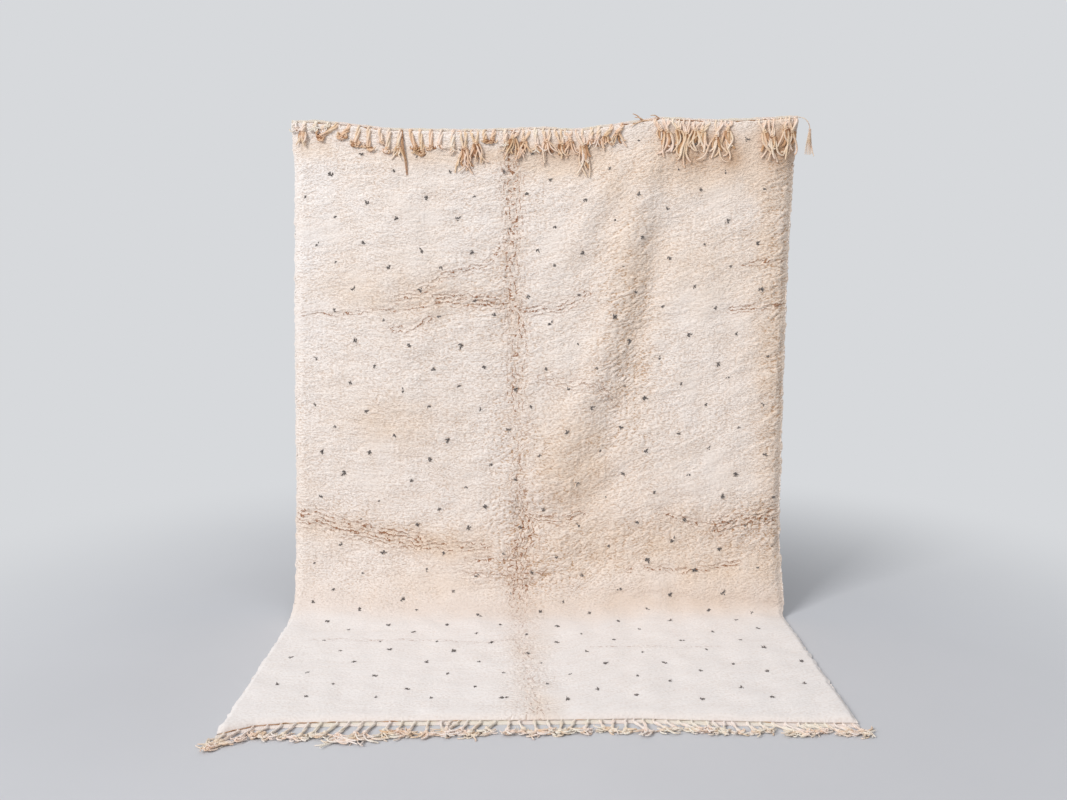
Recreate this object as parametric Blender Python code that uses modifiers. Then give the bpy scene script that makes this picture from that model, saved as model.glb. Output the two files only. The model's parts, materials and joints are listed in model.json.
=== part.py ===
"""A hand-knotted wool rug, hung by one short edge so that its foot bends out over the floor.

Metres, +Z up. The origin is the middle of the hanging edge. The pile faces -Y where the rug hangs and
+Z where it lies, so the bend has the pile on its inner side. Three solids: the pile slab, and at each
short end a woven heading strip with its knotted tassels.
"""

import math
import random
from collections import namedtuple

import bmesh
import bpy
import numpy as np
from mathutils import Vector, noise

# Driving dimensions
HALF_WIDTH = 1.0
FLOOR_Z = -1.97  # the floor, below the hanging edge
GAP = 0.00035  # between a heading and the pile slab
SEED = 7

# Pile: height above the back of the cloth
PILE_HEIGHT = 0.022
PILE_MOST = 0.030
RIM_HEIGHT = 0.014
LUMP = 0.008
LUMPS_PER_METRE = 10.0
RIM_ROUND = 0.045  # width over which the pile falls to its rim
LOCK_OUT = (0.006, 0.019)  # least and most, of the wool locks that stand out of the two long sides
LOCK_INSET = 0.0025
LOCK_WIDTH = (0.35, 0.65)  # share of its rim face
LOCK_DROOP = 0.010

# Mesh cells
COLUMNS = 36  # none of them meets a tassel's root while there are 48 tassels
ROWS_HUNG = 30
ROWS_BEND = 6
ROWS_FLOOR = 13
ROWS = ROWS_HUNG + ROWS_BEND + ROWS_FLOOR
COLUMN_PLACES = [2 * column / COLUMNS - 1 for column in range(COLUMNS + 1)]

# Headings and tassels
TASSELS = 48
STRIP_THICK = 0.005
STRIP_TOP = 0.012
STRIP_FOOT = 0.022
ROOT_WIDTH = 0.013
ROOT_PLAY = 0.004
TASSEL_CLEAR = 0.005  # between the highest pile and the tassels in front of it
SHORT_LENGTH = (0.110, 0.140)  # least and most, of the hanging tassels up to SHORT_UNTIL
SHORT_UNTIL = -0.45
LONG_LENGTH = (0.132, 0.170)
LYING_LENGTH = (0.106, 0.140)
SWAY = 0.012  # tassels lean to and fro along the edge, and so bunch
SWAYS = 17  # in radians for each half width
SWAY_PLAY = 0.005
SPREAD = 0.030  # the lying tassels at both ends sweep out by this much

# The cloth from side to side, across running from -1 to 1: the hanging edge's rise over the origin and
# its place in depth, the radius of the bend at the foot and the place of the front edge
Station = namedtuple("Station", "across rise depth bend front")
STATIONS = (
    Station(-1.00, 0.030, 0.035, 0.200, -1.040),
    Station(-0.90, 0.033, 0.032, 0.190, -0.985),
    Station(-0.80, 0.022, 0.028, 0.180, -0.966),
    Station(-0.60, -0.002, 0.021, 0.165, -0.956),
    Station(-0.25, -0.008, 0.009, 0.140, -0.948),
    Station(0.00, 0.000, 0.000, 0.125, -0.945),
    Station(0.13, -0.006, -0.005, 0.120, -0.942),
    Station(0.32, 0.018, -0.011, 0.110, -0.936),
    Station(0.50, 0.036, -0.017, 0.100, -0.948),
    Station(0.80, 0.032, -0.028, 0.080, -0.962),
    Station(1.00, 0.036, -0.035, 0.065, -0.966),
)

# The two long sides: down is 0 at the hanging edge, 1 at the start of the bend and 2 at the front edge
Side = namedtuple("Side", "down left right")
SIDES = (
    Side(0.00, -1.006, 1.018),
    Side(0.11, -0.998, 1.004),
    Side(0.28, -1.008, 0.988),
    Side(0.55, -1.002, 0.970),
    Side(0.82, -1.000, 0.957),
    Side(1.00, -1.008, 0.968),
    Side(1.20, -1.000, 0.974),
    Side(2.00, -1.002, 0.988),
)

# Folds of the hung cloth, as lines of (x, z) points; toward is how far the crest comes to the front
Fold = namedtuple("Fold", "name half_width toward points")
FOLDS = (
    Fold("long ridge, upper half", 0.080, 0.020, ((0.43, -0.16), (0.35, -0.48), (0.26, -0.85))),
    Fold("long ridge, lower half", 0.080, 0.020, ((0.25, -0.93), (0.12, -1.22), (0.03, -1.43))),
    Fold("valley on its right", 0.070, -0.015, ((0.50, -0.40), (0.40, -0.80), (0.34, -1.09), (0.24, -1.31))),
    Fold("upper ridge", 0.060, 0.010, ((0.31, -0.17), (0.19, -0.35), (0.08, -0.54))),
    Fold("step at the ridge's foot", 0.060, -0.016, ((-0.06, -1.55), (0.16, -1.54), (0.31, -1.40))),
    Fold("low hollow", 0.150, -0.020, ((0.25, -1.70), (0.90, -1.70))),
    Fold("left billow", 0.250, 0.015, ((-0.60, -0.35), (-0.60, -1.20))),
)
FOLDS_FADE = 0.12  # over this height the folds die out towards the edge and the bend
SIDE_ROLL = 0.030  # the right side rolls back by this much
SIDE_ROLL_FROM = 0.88

# Partings of the pile, where its locks fall to both sides, as lines of (x, path) points
Parting = namedtuple("Parting", "name half_width depth points")
PARTINGS = (
    Parting("middle", 0.013, 0.012, ((-0.075, 0.14), (-0.090, 0.55), (-0.072, 0.95), (-0.085, 1.95))),
    Parting("left crease", 0.030, 0.006, ((-0.97, 1.57), (-0.62, 1.63), (-0.36, 1.66))),
    Parting("right crease", 0.030, 0.006, ((0.64, 1.60), (0.98, 1.58))),
    Parting("upper crease", 0.030, 0.006, ((-0.59, 0.65), (-0.21, 0.50), (-0.13, 0.42))),
    Parting("middle crease", 0.030, 0.006, ((-0.41, 0.68), (0.24, 0.68))),
)

# Stretches of the hanging edge, across, whose tassels are worn away
Bare = namedtuple("Bare", "start end")
BARE = (Bare(0.27, 0.43), Bare(0.77, 0.83))

# A tassel's rings down its length: share of the length, width and thickness
Ring = namedtuple("Ring", "share width thick")
HANGING_RINGS = (
    Ring(-0.05, 0.013, 0.008),
    Ring(0.16, 0.014, 0.009),
    Ring(0.42, 0.020, 0.014),
    Ring(0.54, 0.015, 0.009),
    Ring(1.00, 0.029, 0.007),
)
LYING_RINGS = (Ring(0.34, 0.012, 0.008), Ring(0.50, 0.020, 0.013), Ring(1.0, 0.028, 0.006))

# The tassel that hangs by a thread from the heading's right end: its rings' places beside and below
# that end, their width and thickness
Loose = namedtuple("Loose", "beside below width thick")
LOOSE_RINGS = (
    Loose(0.030, 0.010, 0.006, 0.004),
    Loose(0.054, 0.048, 0.008, 0.006),
    Loose(0.058, 0.100, 0.026, 0.009),
    Loose(0.060, 0.155, 0.042, 0.007),
)


def principled(name, color, roughness):
    material = bpy.data.materials.new(name)
    material.use_nodes = True
    shader = material.node_tree.nodes["Principled BSDF"]
    shader.inputs["Base Color"].default_value = (*color, 1.0)
    shader.inputs["Roughness"].default_value = roughness
    shader.inputs["Metallic"].default_value = 0.0
    return material


def read(table, at, column):
    """A column of a table between its rows; at is a value, or a list of them, of its first column."""
    return np.interp(at, [row[0] for row in table], [getattr(row, column) for row in table])


def station(across, column):
    """A column of STATIONS, straight from one column of cells to the next, so that the slab and its
    headings meet along one line."""
    return float(np.interp(across, COLUMN_PLACES, read(STATIONS, COLUMN_PLACES, column)))


def x_place(across, down):
    left, right = read(SIDES, down, "left"), read(SIDES, down, "right")
    return float(left + (right - left) * (across + 1) / 2)


def smooth(value):
    value = min(max(value, 0.0), 1.0)
    return value * value * (3.0 - 2.0 * value)


def distance_to_line(x, y, points):
    """The least distance from (x, y) to a line through the points."""
    here = Vector((x, y))
    least = math.inf
    for start, end in zip(points, points[1:]):
        start, end = Vector(start), Vector(end)
        along = end - start
        share = min(max((here - start).dot(along) / along.length_squared, 0.0), 1.0)
        least = min(least, (here - start - along * share).length)
    return least


def bell(distance, half_width):
    return math.exp(-((distance / half_width) ** 2))


def fold_depth(x, z, top, foot):
    """How far the folds move the hung cloth in Y."""
    toward = sum(fold.toward * bell(distance_to_line(x, z, fold.points), fold.half_width) for fold in FOLDS)
    fade = smooth((top - z) / FOLDS_FADE) * smooth((z - foot) / FOLDS_FADE)
    roll = SIDE_ROLL * max(x - SIDE_ROLL_FROM, 0.0) ** 2 / (HALF_WIDTH - SIDE_ROLL_FROM) ** 2
    return (roll - toward) * fade


def back_point(across, row):
    """The back of the cloth: across runs -1 to 1, row counts from the hanging edge. Returns the point
    and the length of cloth above it."""
    top, depth, bend = station(across, "rise"), station(across, "depth"), station(across, "bend")
    foot = FLOOR_Z + bend
    hung = top - foot
    bent = row - ROWS_HUNG
    laid = bent - ROWS_BEND
    if bent <= 0:
        path = hung * row / ROWS_HUNG
        x, z = x_place(across, row / ROWS_HUNG), top - path
        return Vector((x, depth + fold_depth(x, z, top, foot), z)), path
    x = x_place(across, 1 + bent / (ROWS_BEND + ROWS_FLOOR))
    if laid <= 0:
        angle = math.pi / 2 * bent / ROWS_BEND
        y, z = depth - bend + bend * math.cos(angle), foot - bend * math.sin(angle)
        return Vector((x, y, z)), hung + bend * angle
    run = (depth - bend - station(across, "front")) * laid / ROWS_FLOOR
    return Vector((x, depth - bend - run, FLOOR_Z)), hung + bend * math.pi / 2 + run


def pile_height(x, path, to_side):
    """The pile's height above the back of the cloth; to_side is the distance to the nearer long side."""
    lump = LUMP * noise.noise(Vector((x * LUMPS_PER_METRE, path * LUMPS_PER_METRE, SEED)))
    parted = max(p.depth * bell(distance_to_line(x, path, p.points), p.half_width) for p in PARTINGS)
    full = PILE_HEIGHT + lump - parted
    return RIM_HEIGHT + (full - RIM_HEIGHT) * smooth(to_side / RIM_ROUND)


def pile_cage():
    """The back of the cloth as an open grid, with the pile's height as a vertex group."""
    bm = bmesh.new()
    bmesh.ops.create_grid(bm, x_segments=COLUMNS, y_segments=ROWS, size=1.0)
    middle = PARTINGS[0]
    for offset in (-2 * middle.half_width, 0.0, 2 * middle.half_width):
        cut = middle.points[0][0] + offset
        geometry = bm.verts[:] + bm.edges[:] + bm.faces[:]
        bmesh.ops.bisect_plane(bm, geom=geometry, plane_co=(cut, 0, 0), plane_no=(1, 0, 0))
    heights = []
    for vertex in bm.verts:
        across = vertex.co.x
        row = round((1 - vertex.co.y) / 2 * ROWS)
        vertex.co, path = back_point(across, row)
        heights.append(pile_height(vertex.co.x, path, (1 - abs(across)) * HALF_WIDTH))
    mesh = bpy.data.meshes.new("rug_pile")
    bm.to_mesh(mesh)
    bm.free()
    cage = bpy.data.objects.new("rug_pile", mesh)
    group = cage.vertex_groups.new(name="pile height")
    for index, height in enumerate(heights):
        group.add([index], height / PILE_MOST, "REPLACE")
    return cage


def raise_side_locks(bm, rng):
    """A drooping wool lock on each rim face of the two long sides."""
    rim = [f for f in bm.faces if abs(f.normal.x) > 0.8]
    bmesh.ops.inset_individual(bm, faces=rim, thickness=LOCK_INSET, use_even_offset=True)
    for face in rim:
        centre = face.calc_center_median()
        long_edge = max(face.edges, key=lambda edge: edge.calc_length())
        along = (long_edge.verts[0].co - long_edge.verts[1].co).normalized()
        out = math.copysign(rng.uniform(*LOCK_OUT), face.normal.x)
        droop = rng.uniform(0.0, LOCK_DROOP) * smooth((centre.z - FLOOR_Z) / HALF_WIDTH)
        narrow = 1 - rng.uniform(*LOCK_WIDTH)
        for vertex in face.verts:
            reach = (vertex.co - centre).dot(along)
            vertex.co += Vector((out, 0, -droop)) - along * reach * narrow


def pile_slab(collection, rng):
    """The pile slab: the cage thickened towards the pile, then its side locks."""
    cage = pile_cage()
    collection.objects.link(cage)
    thicken = cage.modifiers.new("pile", "SOLIDIFY")
    thicken.thickness = PILE_MOST
    thicken.offset = 1.0
    thicken.vertex_group = "pile height"
    thicken.use_even_offset = True
    evaluated = cage.evaluated_get(bpy.context.evaluated_depsgraph_get())
    bm = bmesh.new()
    bm.from_mesh(evaluated.to_mesh())
    cage.modifiers.remove(thicken)
    cage.vertex_groups.clear()
    raise_side_locks(bm, rng)
    bm.to_mesh(cage.data)
    bm.free()
    cage.data.shade_smooth()
    return cage


def tassel_roots(rng):
    """The roots' places across the cloth, evenly spaced with a little play."""
    return [(2 * i + 1) / TASSELS - 1 + rng.uniform(-ROOT_PLAY, ROOT_PLAY) for i in range(TASSELS)]


def strip_columns(roots):
    """The strip's column places: those of the slab's columns, and both sides of each root."""
    half = ROOT_WIDTH / 2 / HALF_WIDTH
    return sorted(COLUMN_PLACES + [root + offset for root in roots for offset in (-half, half)])


def heading(bm, columns, width, place):
    """A closed strip with a cell for each root. place(across, out, rise) gives a point, with out
    measured from the cloth's edge and rise from the back of the cloth."""
    bmesh.ops.create_grid(bm, x_segments=len(columns) - 1, y_segments=1, size=1.0)
    lower = bm.verts[:]
    top = bmesh.ops.extrude_face_region(bm, geom=bm.faces[:])["geom"]
    upper = {v for v in top if isinstance(v, bmesh.types.BMVert)}
    cells = len(columns) - 1
    for vertex in lower + list(upper):
        across = columns[round((vertex.co.x + 1) / 2 * cells)]
        out = width if vertex.co.y < 0 else 0.0
        rise = STRIP_THICK if vertex in upper else 0.0
        vertex.co = place(across, out, rise)
    bmesh.ops.recalc_face_normals(bm, faces=bm.faces[:])


def grow_tassel(bm, root, up, rings):
    """Extrudes the root face through rings of (centre, half width vector, half thickness vector)."""
    centre = root.calc_center_median()
    across = rings[0][1]
    signs = []
    for vertex in root.verts:
        offset = vertex.co - centre
        signs.append((math.copysign(1, offset.dot(across)), math.copysign(1, offset.dot(up))))
    face = root
    for middle, half_width, half_thick in rings:
        face = bmesh.ops.extrude_discrete_faces(bm, faces=[face])["faces"][0]
        for vertex, (sign_width, sign_thick) in zip(face.verts, signs):
            vertex.co = middle + half_width * sign_width + half_thick * sign_thick


def root_faces(bm, roots, place):
    """The strip's front face over each root, in the order of the roots."""
    fronts = {face: face.calc_center_median().x for face in bm.faces if face.normal.y < -0.7}
    return [min(fronts, key=lambda face: abs(fronts[face] - place(root, 0, 0).x)) for root in roots]


def finish(bm, name, collection):
    mesh = bpy.data.meshes.new(name)
    bm.to_mesh(mesh)
    bm.free()
    obj = bpy.data.objects.new(name, mesh)
    collection.objects.link(obj)
    return obj


def grow_loose_tassel(bm):
    """The loose tassel, from the heading's right end."""
    end = max(bm.faces, key=lambda f: f.calc_center_median().x)
    corner = end.calc_center_median()
    rings = []
    for ring in LOOSE_RINGS:
        middle = corner + Vector((ring.beside, 0, -ring.below))
        turn = Vector((1, 0, 1 if ring is LOOSE_RINGS[0] else 0)).normalized()
        rings.append((middle, Vector((0, ring.thick / 2, 0)), turn * ring.width / 2))
    grow_tassel(bm, end, Vector((0, 0, 1)), rings)


def top_fringe(collection, rng):
    """The heading above the pile's hanging edge, with tassels that fall forward over the pile."""
    roots = [root for root in tassel_roots(rng) if not any(b.start < root < b.end for b in BARE)]

    def place(across, out, rise):
        y = station(across, "depth") - rise
        return Vector((x_place(across, 0), y, station(across, "rise") + GAP + out))

    bm = bmesh.new()
    heading(bm, strip_columns(roots), STRIP_TOP, place)
    for across, root in zip(roots, root_faces(bm, roots, place)):
        length = rng.uniform(*(SHORT_LENGTH if across < SHORT_UNTIL else LONG_LENGTH))
        sway = SWAY * math.sin(across * SWAYS) + rng.uniform(-SWAY_PLAY, SWAY_PLAY)
        rings = []
        for ring in HANGING_RINGS:
            middle = place(across + sway * ring.share, 0, PILE_MOST + TASSEL_CLEAR + ring.thick / 2)
            middle.z -= length * ring.share
            middle.y += fold_depth(middle.x, middle.z, station(across, "rise"), FLOOR_Z)
            outward = Vector((0, -1, 1 if ring.share < 0 else 0)).normalized()
            rings.append((middle, Vector((ring.width / 2, 0, 0)), outward * ring.thick / 2))
        grow_tassel(bm, root, Vector((0, 0, 1)), rings)
    grow_loose_tassel(bm)
    return finish(bm, "top_fringe", collection)


def bottom_fringe(collection, rng):
    """The heading in front of the pile's lower edge, with tassels spread level on the floor."""
    roots = tassel_roots(rng)

    def place(across, out, rise):
        return Vector((x_place(across, 2), station(across, "front") - GAP - out, FLOOR_Z + rise))

    bm = bmesh.new()
    heading(bm, strip_columns(roots), STRIP_FOOT, place)
    for across, root in zip(roots, root_faces(bm, roots, place)):
        length = rng.uniform(*LYING_LENGTH)
        sway = SWAY * math.cos(across * SWAYS) + rng.uniform(-SWAY_PLAY, SWAY_PLAY) + SPREAD * across**5
        rings = []
        for ring in LYING_RINGS:
            middle = place(across + sway * ring.share, STRIP_FOOT + length * ring.share, ring.thick / 2)
            rings.append((middle, Vector((ring.width / 2, 0, 0)), Vector((0, 0, ring.thick / 2))))
        grow_tassel(bm, root, Vector((0, 0, 1)), rings)
    return finish(bm, "bottom_fringe", collection)


def build():
    for old in list(bpy.data.objects):
        bpy.data.objects.remove(old, do_unlink=True)
    collection = bpy.data.collections.new("beni ourain rug")
    bpy.context.scene.collection.children.link(collection)
    rng = random.Random(SEED)
    hanging_edge = bpy.data.objects.new("hanging_edge", None)
    collection.objects.link(hanging_edge)
    wool = principled("ivory wool pile", (0.78, 0.68, 0.60), 0.95)
    cotton = principled("straw warp yarn", (0.62, 0.46, 0.33), 0.9)
    pile = pile_slab(collection, rng)
    pile.data.materials.append(wool)
    pile.parent = hanging_edge
    for fringe in (top_fringe(collection, rng), bottom_fringe(collection, rng)):
        fringe.data.materials.append(cotton)
        fringe.parent = hanging_edge


build()
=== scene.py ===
"""The looks of a hand-knotted wool rug that hangs by one short edge, with its foot out over the floor."""

import json
import math
import random

import bmesh
import bpy
import numpy as np
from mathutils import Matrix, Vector, noise

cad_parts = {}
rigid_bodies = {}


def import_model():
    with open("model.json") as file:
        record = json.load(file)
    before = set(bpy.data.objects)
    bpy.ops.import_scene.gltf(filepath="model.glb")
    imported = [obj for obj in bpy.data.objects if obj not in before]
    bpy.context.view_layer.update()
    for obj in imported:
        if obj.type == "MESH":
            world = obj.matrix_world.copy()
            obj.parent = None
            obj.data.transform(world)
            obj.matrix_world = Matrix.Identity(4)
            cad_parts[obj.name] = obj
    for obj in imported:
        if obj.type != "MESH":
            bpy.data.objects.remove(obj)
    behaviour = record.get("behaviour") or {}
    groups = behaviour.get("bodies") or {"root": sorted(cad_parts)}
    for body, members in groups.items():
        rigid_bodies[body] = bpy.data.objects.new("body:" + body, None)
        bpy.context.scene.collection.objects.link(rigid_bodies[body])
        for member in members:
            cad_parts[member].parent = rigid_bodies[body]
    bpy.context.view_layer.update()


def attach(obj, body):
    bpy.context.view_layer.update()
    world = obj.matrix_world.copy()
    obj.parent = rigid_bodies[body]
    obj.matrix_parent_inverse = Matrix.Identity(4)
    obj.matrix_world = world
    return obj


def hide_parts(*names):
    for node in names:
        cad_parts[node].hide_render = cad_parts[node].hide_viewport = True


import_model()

# ---------------------------------------------------------------------------------------------------
# The room. A plain pale floor that runs on far behind the rug, one large soft light far off at the
# upper left, a weak one overhead, and an even pale surround. The camera stands square to the rug,
# 1.5 m above the floor, and looks slightly down.

FLOOR_Z = -1.97
FLOOR_RADIUS = 16.0
UNDER_RUG = (0.0, -0.6, FLOOR_Z)
FADE_FROM, FADE_TO = 1.2, 3.4  # how far from there the floor turns into the surround
SURROUND = "D7D9DC"
AMBIENT = 0.68


def linear(colour):
    """An sRGB hex value as linear red, green, blue and alpha."""
    parts = [int(colour[i : i + 2], 16) / 255 for i in (0, 2, 4)]
    return (*[c / 12.92 if c <= 0.04045 else ((c + 0.055) / 1.055) ** 2.4 for c in parts], 1.0)


def add(tree, kind, inputs=None, **settings):
    """Adds a node with its settings; inputs are values, or other nodes' outputs to link."""
    made = tree.nodes.new(kind)
    for name, value in settings.items():
        setattr(made, name, value)
    for name, value in (inputs or {}).items():
        if isinstance(value, bpy.types.NodeSocket):
            tree.links.new(value, made.inputs[name])
        else:
            made.inputs[name].default_value = value
    return made


def new_material(name):
    """A material with its tree emptied but for the output."""
    material = bpy.data.materials.new(name)
    material.use_nodes = True
    tree = material.node_tree
    tree.nodes.clear()
    return material, tree, tree.nodes.new("ShaderNodeOutputMaterial")


# Smooth screed: matt, pale and slightly clouded. Far off it takes on the surround's tone.
screed, tree, output = new_material("smooth pale screed")
place = add(tree, "ShaderNodeTexCoord").outputs["Object"]
cloud = add(tree, "ShaderNodeTexNoise", {"Vector": place, "Scale": 0.9, "Detail": 3.0, "Roughness": 0.5})
tone = add(tree, "ShaderNodeMix", {0: cloud.outputs["Fac"], 6: linear("C3C4C8"), 7: linear("CECFD3")},
           data_type="RGBA")
matt = add(tree, "ShaderNodeBsdfPrincipled", {"Base Color": tone.outputs[2], "Roughness": 0.7,
                                              "Specular IOR Level": 0.2})
far = add(tree, "ShaderNodeVectorMath", {0: place, 1: UNDER_RUG}, operation="DISTANCE")
fade = add(tree, "ShaderNodeMapRange", {"Value": far.outputs["Value"], "From Min": FADE_FROM,
                                        "From Max": FADE_TO}, interpolation_type="SMOOTHSTEP")
glow = add(tree, "ShaderNodeEmission", {"Color": linear(SURROUND), "Strength": 1.0})
both = add(tree, "ShaderNodeMixShader", {0: fade.outputs["Result"], 1: matt.outputs[0], 2: glow.outputs[0]})
tree.links.new(both.outputs[0], output.inputs["Surface"])

bm = bmesh.new()
bmesh.ops.create_circle(bm, cap_ends=True, segments=96, radius=FLOOR_RADIUS)
bmesh.ops.translate(bm, verts=bm.verts, vec=(0, 0, FLOOR_Z))
mesh = bpy.data.meshes.new("floor")
bm.to_mesh(mesh)
bm.free()
mesh.materials.append(screed)
floor = bpy.data.objects.new("floor", mesh)
bpy.context.scene.collection.objects.link(floor)

world = bpy.data.worlds.new("even pale surround")
world.use_nodes = True
backdrop = world.node_tree.nodes["Background"]
backdrop.inputs["Color"].default_value = linear(SURROUND)
seen = add(world.node_tree, "ShaderNodeLightPath").outputs["Is Camera Ray"]
strength = add(world.node_tree, "ShaderNodeMapRange", {"Value": seen, "To Min": AMBIENT, "To Max": 1.0})
world.node_tree.links.new(strength.outputs[0], backdrop.inputs["Strength"])
bpy.context.scene.world = world

# name, place, the point it faces, width, power, colour
LIGHTS = (
    ("soft key", (-12.2, -13.6, 9.7), (0.0, -0.3, -0.9), 7.0, 3280.0, "FFFFFF"),
    ("overhead", (0.4, -1.6, 3.4), (0.0, -0.6, -1.9), 2.4, 30.0, "FFFFFF"),
)
for name, spot, aim, width, power, colour in LIGHTS:
    light = bpy.data.lights.new(name, "AREA")
    light.size, light.energy, light.color = width, power, linear(colour)[:3]
    lamp = bpy.data.objects.new(name, light)
    lamp.location = spot
    lamp.rotation_euler = (Vector(aim) - Vector(spot)).to_track_quat("-Z", "Y").to_euler()
    bpy.context.scene.collection.objects.link(lamp)

eye = bpy.data.cameras.new("eye")
eye.sensor_width = 36.0
eye.lens = 34.17
eye.shift_y = -0.1034
camera = bpy.data.objects.new("eye", eye)
camera.location = (-0.030, -4.080, -0.468)
camera.rotation_euler = (math.radians(90 - 2.5), 0, 0)
bpy.context.scene.collection.objects.link(camera)
bpy.context.scene.camera = camera
bpy.context.scene.view_settings.view_transform = "Standard"

# ---------------------------------------------------------------------------------------------------
# The woven ground: one cloth of wool weft on cotton warp, 2.0 by 2.86 m and about 3 mm thick. It
# hangs from its top edge in shallow folds, bends at the foot and lies on the floor. The pile is
# knotted into it, so its back shows rows of small knots.

CLOTH_WIDE, CLOTH_LONG = 2.0, 2.86
GROUND_THICK = 0.003
HUNG, BEND, LAID = 30, 6, 13  # the cloth's three stretches, in rows of its plain form
HUNG_LONG, BEND_LONG, LAID_LONG = 1.845, 0.20, 0.82  # and about how long each is
GROUND_CELL, GROUND_COLUMNS = 0.02, 100

# across, the hanging edge's rise and its place in depth, the bend's radius, the front edge's place
STATIONS = np.array((
    (-1.00, 0.024, 0.035, 0.200, -1.040),
    (-0.90, 0.026, 0.032, 0.190, -0.985),
    (-0.80, 0.016, 0.028, 0.180, -0.966),
    (-0.60, -0.008, 0.021, 0.165, -0.956),
    (-0.25, -0.013, 0.009, 0.140, -0.948),
    (0.00, -0.004, 0.000, 0.125, -0.945),
    (0.13, -0.013, -0.005, 0.120, -0.942),
    (0.32, 0.012, -0.011, 0.110, -0.936),
    (0.46, 0.034, -0.015, 0.102, -0.946),
    (0.66, 0.022, -0.023, 0.090, -0.955),
    (0.80, 0.026, -0.028, 0.080, -0.962),
    (1.00, 0.036, -0.035, 0.065, -0.966),
))
# down from 0 at the hanging edge by 1 at the bend to 2 at the front edge, left and right side
SIDES = np.array((
    (0.00, -1.006, 1.018),
    (0.11, -0.993, 1.006),
    (0.28, -0.997, 0.988),
    (0.55, -1.001, 0.972),
    (0.82, -1.000, 0.964),
    (1.00, -1.006, 0.984),
    (1.20, -1.000, 0.974),
    (2.00, -1.002, 0.988),
))
# half width, how far the crest comes forward, and its line of (x, z) points
FOLDS = (
    (0.075, 0.017, ((0.43, -0.16), (0.35, -0.48), (0.26, -0.85))),  # long ridge, upper half
    (0.075, 0.016, ((0.25, -0.93), (0.12, -1.22), (0.03, -1.43))),  # long ridge, lower half
    (0.070, -0.012, ((0.50, -0.40), (0.40, -0.80), (0.34, -1.09), (0.24, -1.31))),  # valley on its right
    (0.060, 0.010, ((0.31, -0.17), (0.19, -0.35), (0.08, -0.54))),  # upper ridge
    (0.060, -0.016, ((-0.06, -1.55), (0.16, -1.54), (0.31, -1.40))),  # step at the ridge's foot
    (0.150, -0.020, ((0.25, -1.70), (0.90, -1.70))),  # low hollow
    (0.250, 0.015, ((-0.60, -0.35), (-0.60, -1.20))),  # left billow
)
FOLDS_FADE = 0.12  # they die out this far from the hanging edge and from the bend
SIDE_ROLL, SIDE_ROLL_FROM = 0.030, 0.88  # the right side turns back by this much, from here


def smooth(value):
    value = np.clip(value, 0.0, 1.0)
    return value * value * (3.0 - 2.0 * value)


def from_line(x, y, points):
    """The least distance of each (x, y) from a line through the points, and the same distance with
    a sign, which is less than 0 on the line's right side."""
    least, signed = np.full(np.broadcast(x, y).shape, 1e9), np.zeros(np.broadcast(x, y).shape)
    for (x0, y0), (x1, y1) in zip(points, points[1:]):
        dx, dy = x1 - x0, y1 - y0
        share = np.clip(((x - x0) * dx + (y - y0) * dy) / (dx * dx + dy * dy), 0.0, 1.0)
        away = np.hypot(x - x0 - share * dx, y - y0 - share * dy)
        side = np.sign((x - x0) * dy - (y - y0) * dx)
        signed = np.where(away < least, away * side, signed)
        least = np.minimum(least, away)
    return least, signed


def bell(distance, half_width):
    return np.exp(-((distance / half_width) ** 2))


def lot(column, row, seed):
    """A fixed random share from 0 to 1 for each whole column and row."""
    column, row = column.astype(np.int64), row.astype(np.int64)
    n = (column * 374761393 + row * 668265263 + seed * 974634777) & 0xFFFFFFFF
    n = ((n ^ (n >> 13)) * 1274126177) & 0xFFFFFFFF
    n = ((n ^ (n >> 16)) * 2246822519) & 0xFFFFFFFF
    return ((n ^ (n >> 15)) & 0xFFFFFF) / float(0x1000000)


def drift(x, y, size, seed):
    """Smooth noise from about -1 to 1, whose bumps are about size apart."""
    x, y = x / size + seed * 17.31, y / size + seed * 5.77
    column, row = np.floor(x), np.floor(y)
    fx, fy = x - column, y - row
    total = 0.0
    for i in (0, 1):
        for j in (0, 1):
            turn = 2 * math.pi * lot(column + i, row + j, seed)
            slope = np.cos(turn) * (fx - i) + np.sin(turn) * (fy - j)
            total = total + slope * smooth(1 - np.abs(fx - i)) * smooth(1 - np.abs(fy - j))
    return total * 1.4


def station(across, place):
    """What the stations hold in that place, between one and the next."""
    return np.interp(across, STATIONS[:, 0], STATIONS[:, place])


def between(left, right, across):
    """The place from left to right for an across of -1 to 1."""
    return left + (right - left) * (across + 1) / 2


def cloth_back(across, row):
    """The back of the cloth, as x, y, z and the length of cloth above, for arrays of across and row."""
    rise, depth, bend, front = (station(across, place) for place in (1, 2, 3, 4))
    foot = FLOOR_Z + bend
    hung = rise - foot
    down = np.where(row < HUNG, row / HUNG, 1 + (row - HUNG) / (BEND + LAID))
    left, right = (np.interp(down, SIDES[:, 0], SIDES[:, k]) for k in (1, 2))
    x = between(left, right, across)
    path = hung * np.minimum(row, HUNG) / HUNG
    z = rise - path
    toward = sum(crest * bell(from_line(x, z, line)[0], half) for half, crest, line in FOLDS)
    toward = toward + 0.0025 * drift(x, z, 0.22, 3)
    fade = smooth((rise - z) / FOLDS_FADE) * smooth((z - foot) / FOLDS_FADE)
    roll = SIDE_ROLL * np.maximum(x - SIDE_ROLL_FROM, 0.0) ** 2 / (1 - SIDE_ROLL_FROM) ** 2
    y = depth + (roll - toward) * fade
    angle = math.pi / 2 * np.clip((row - HUNG) / BEND, 0.0, 1.0)
    run = (depth - bend - front) * np.clip((row - HUNG - BEND) / LAID, 0.0, 1.0)
    y = np.where(row > HUNG, depth - bend + bend * np.cos(angle) - run, y)
    z = np.where(row > HUNG, foot - bend * np.sin(angle), z)
    return x, y, z, path + bend * angle + run


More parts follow.
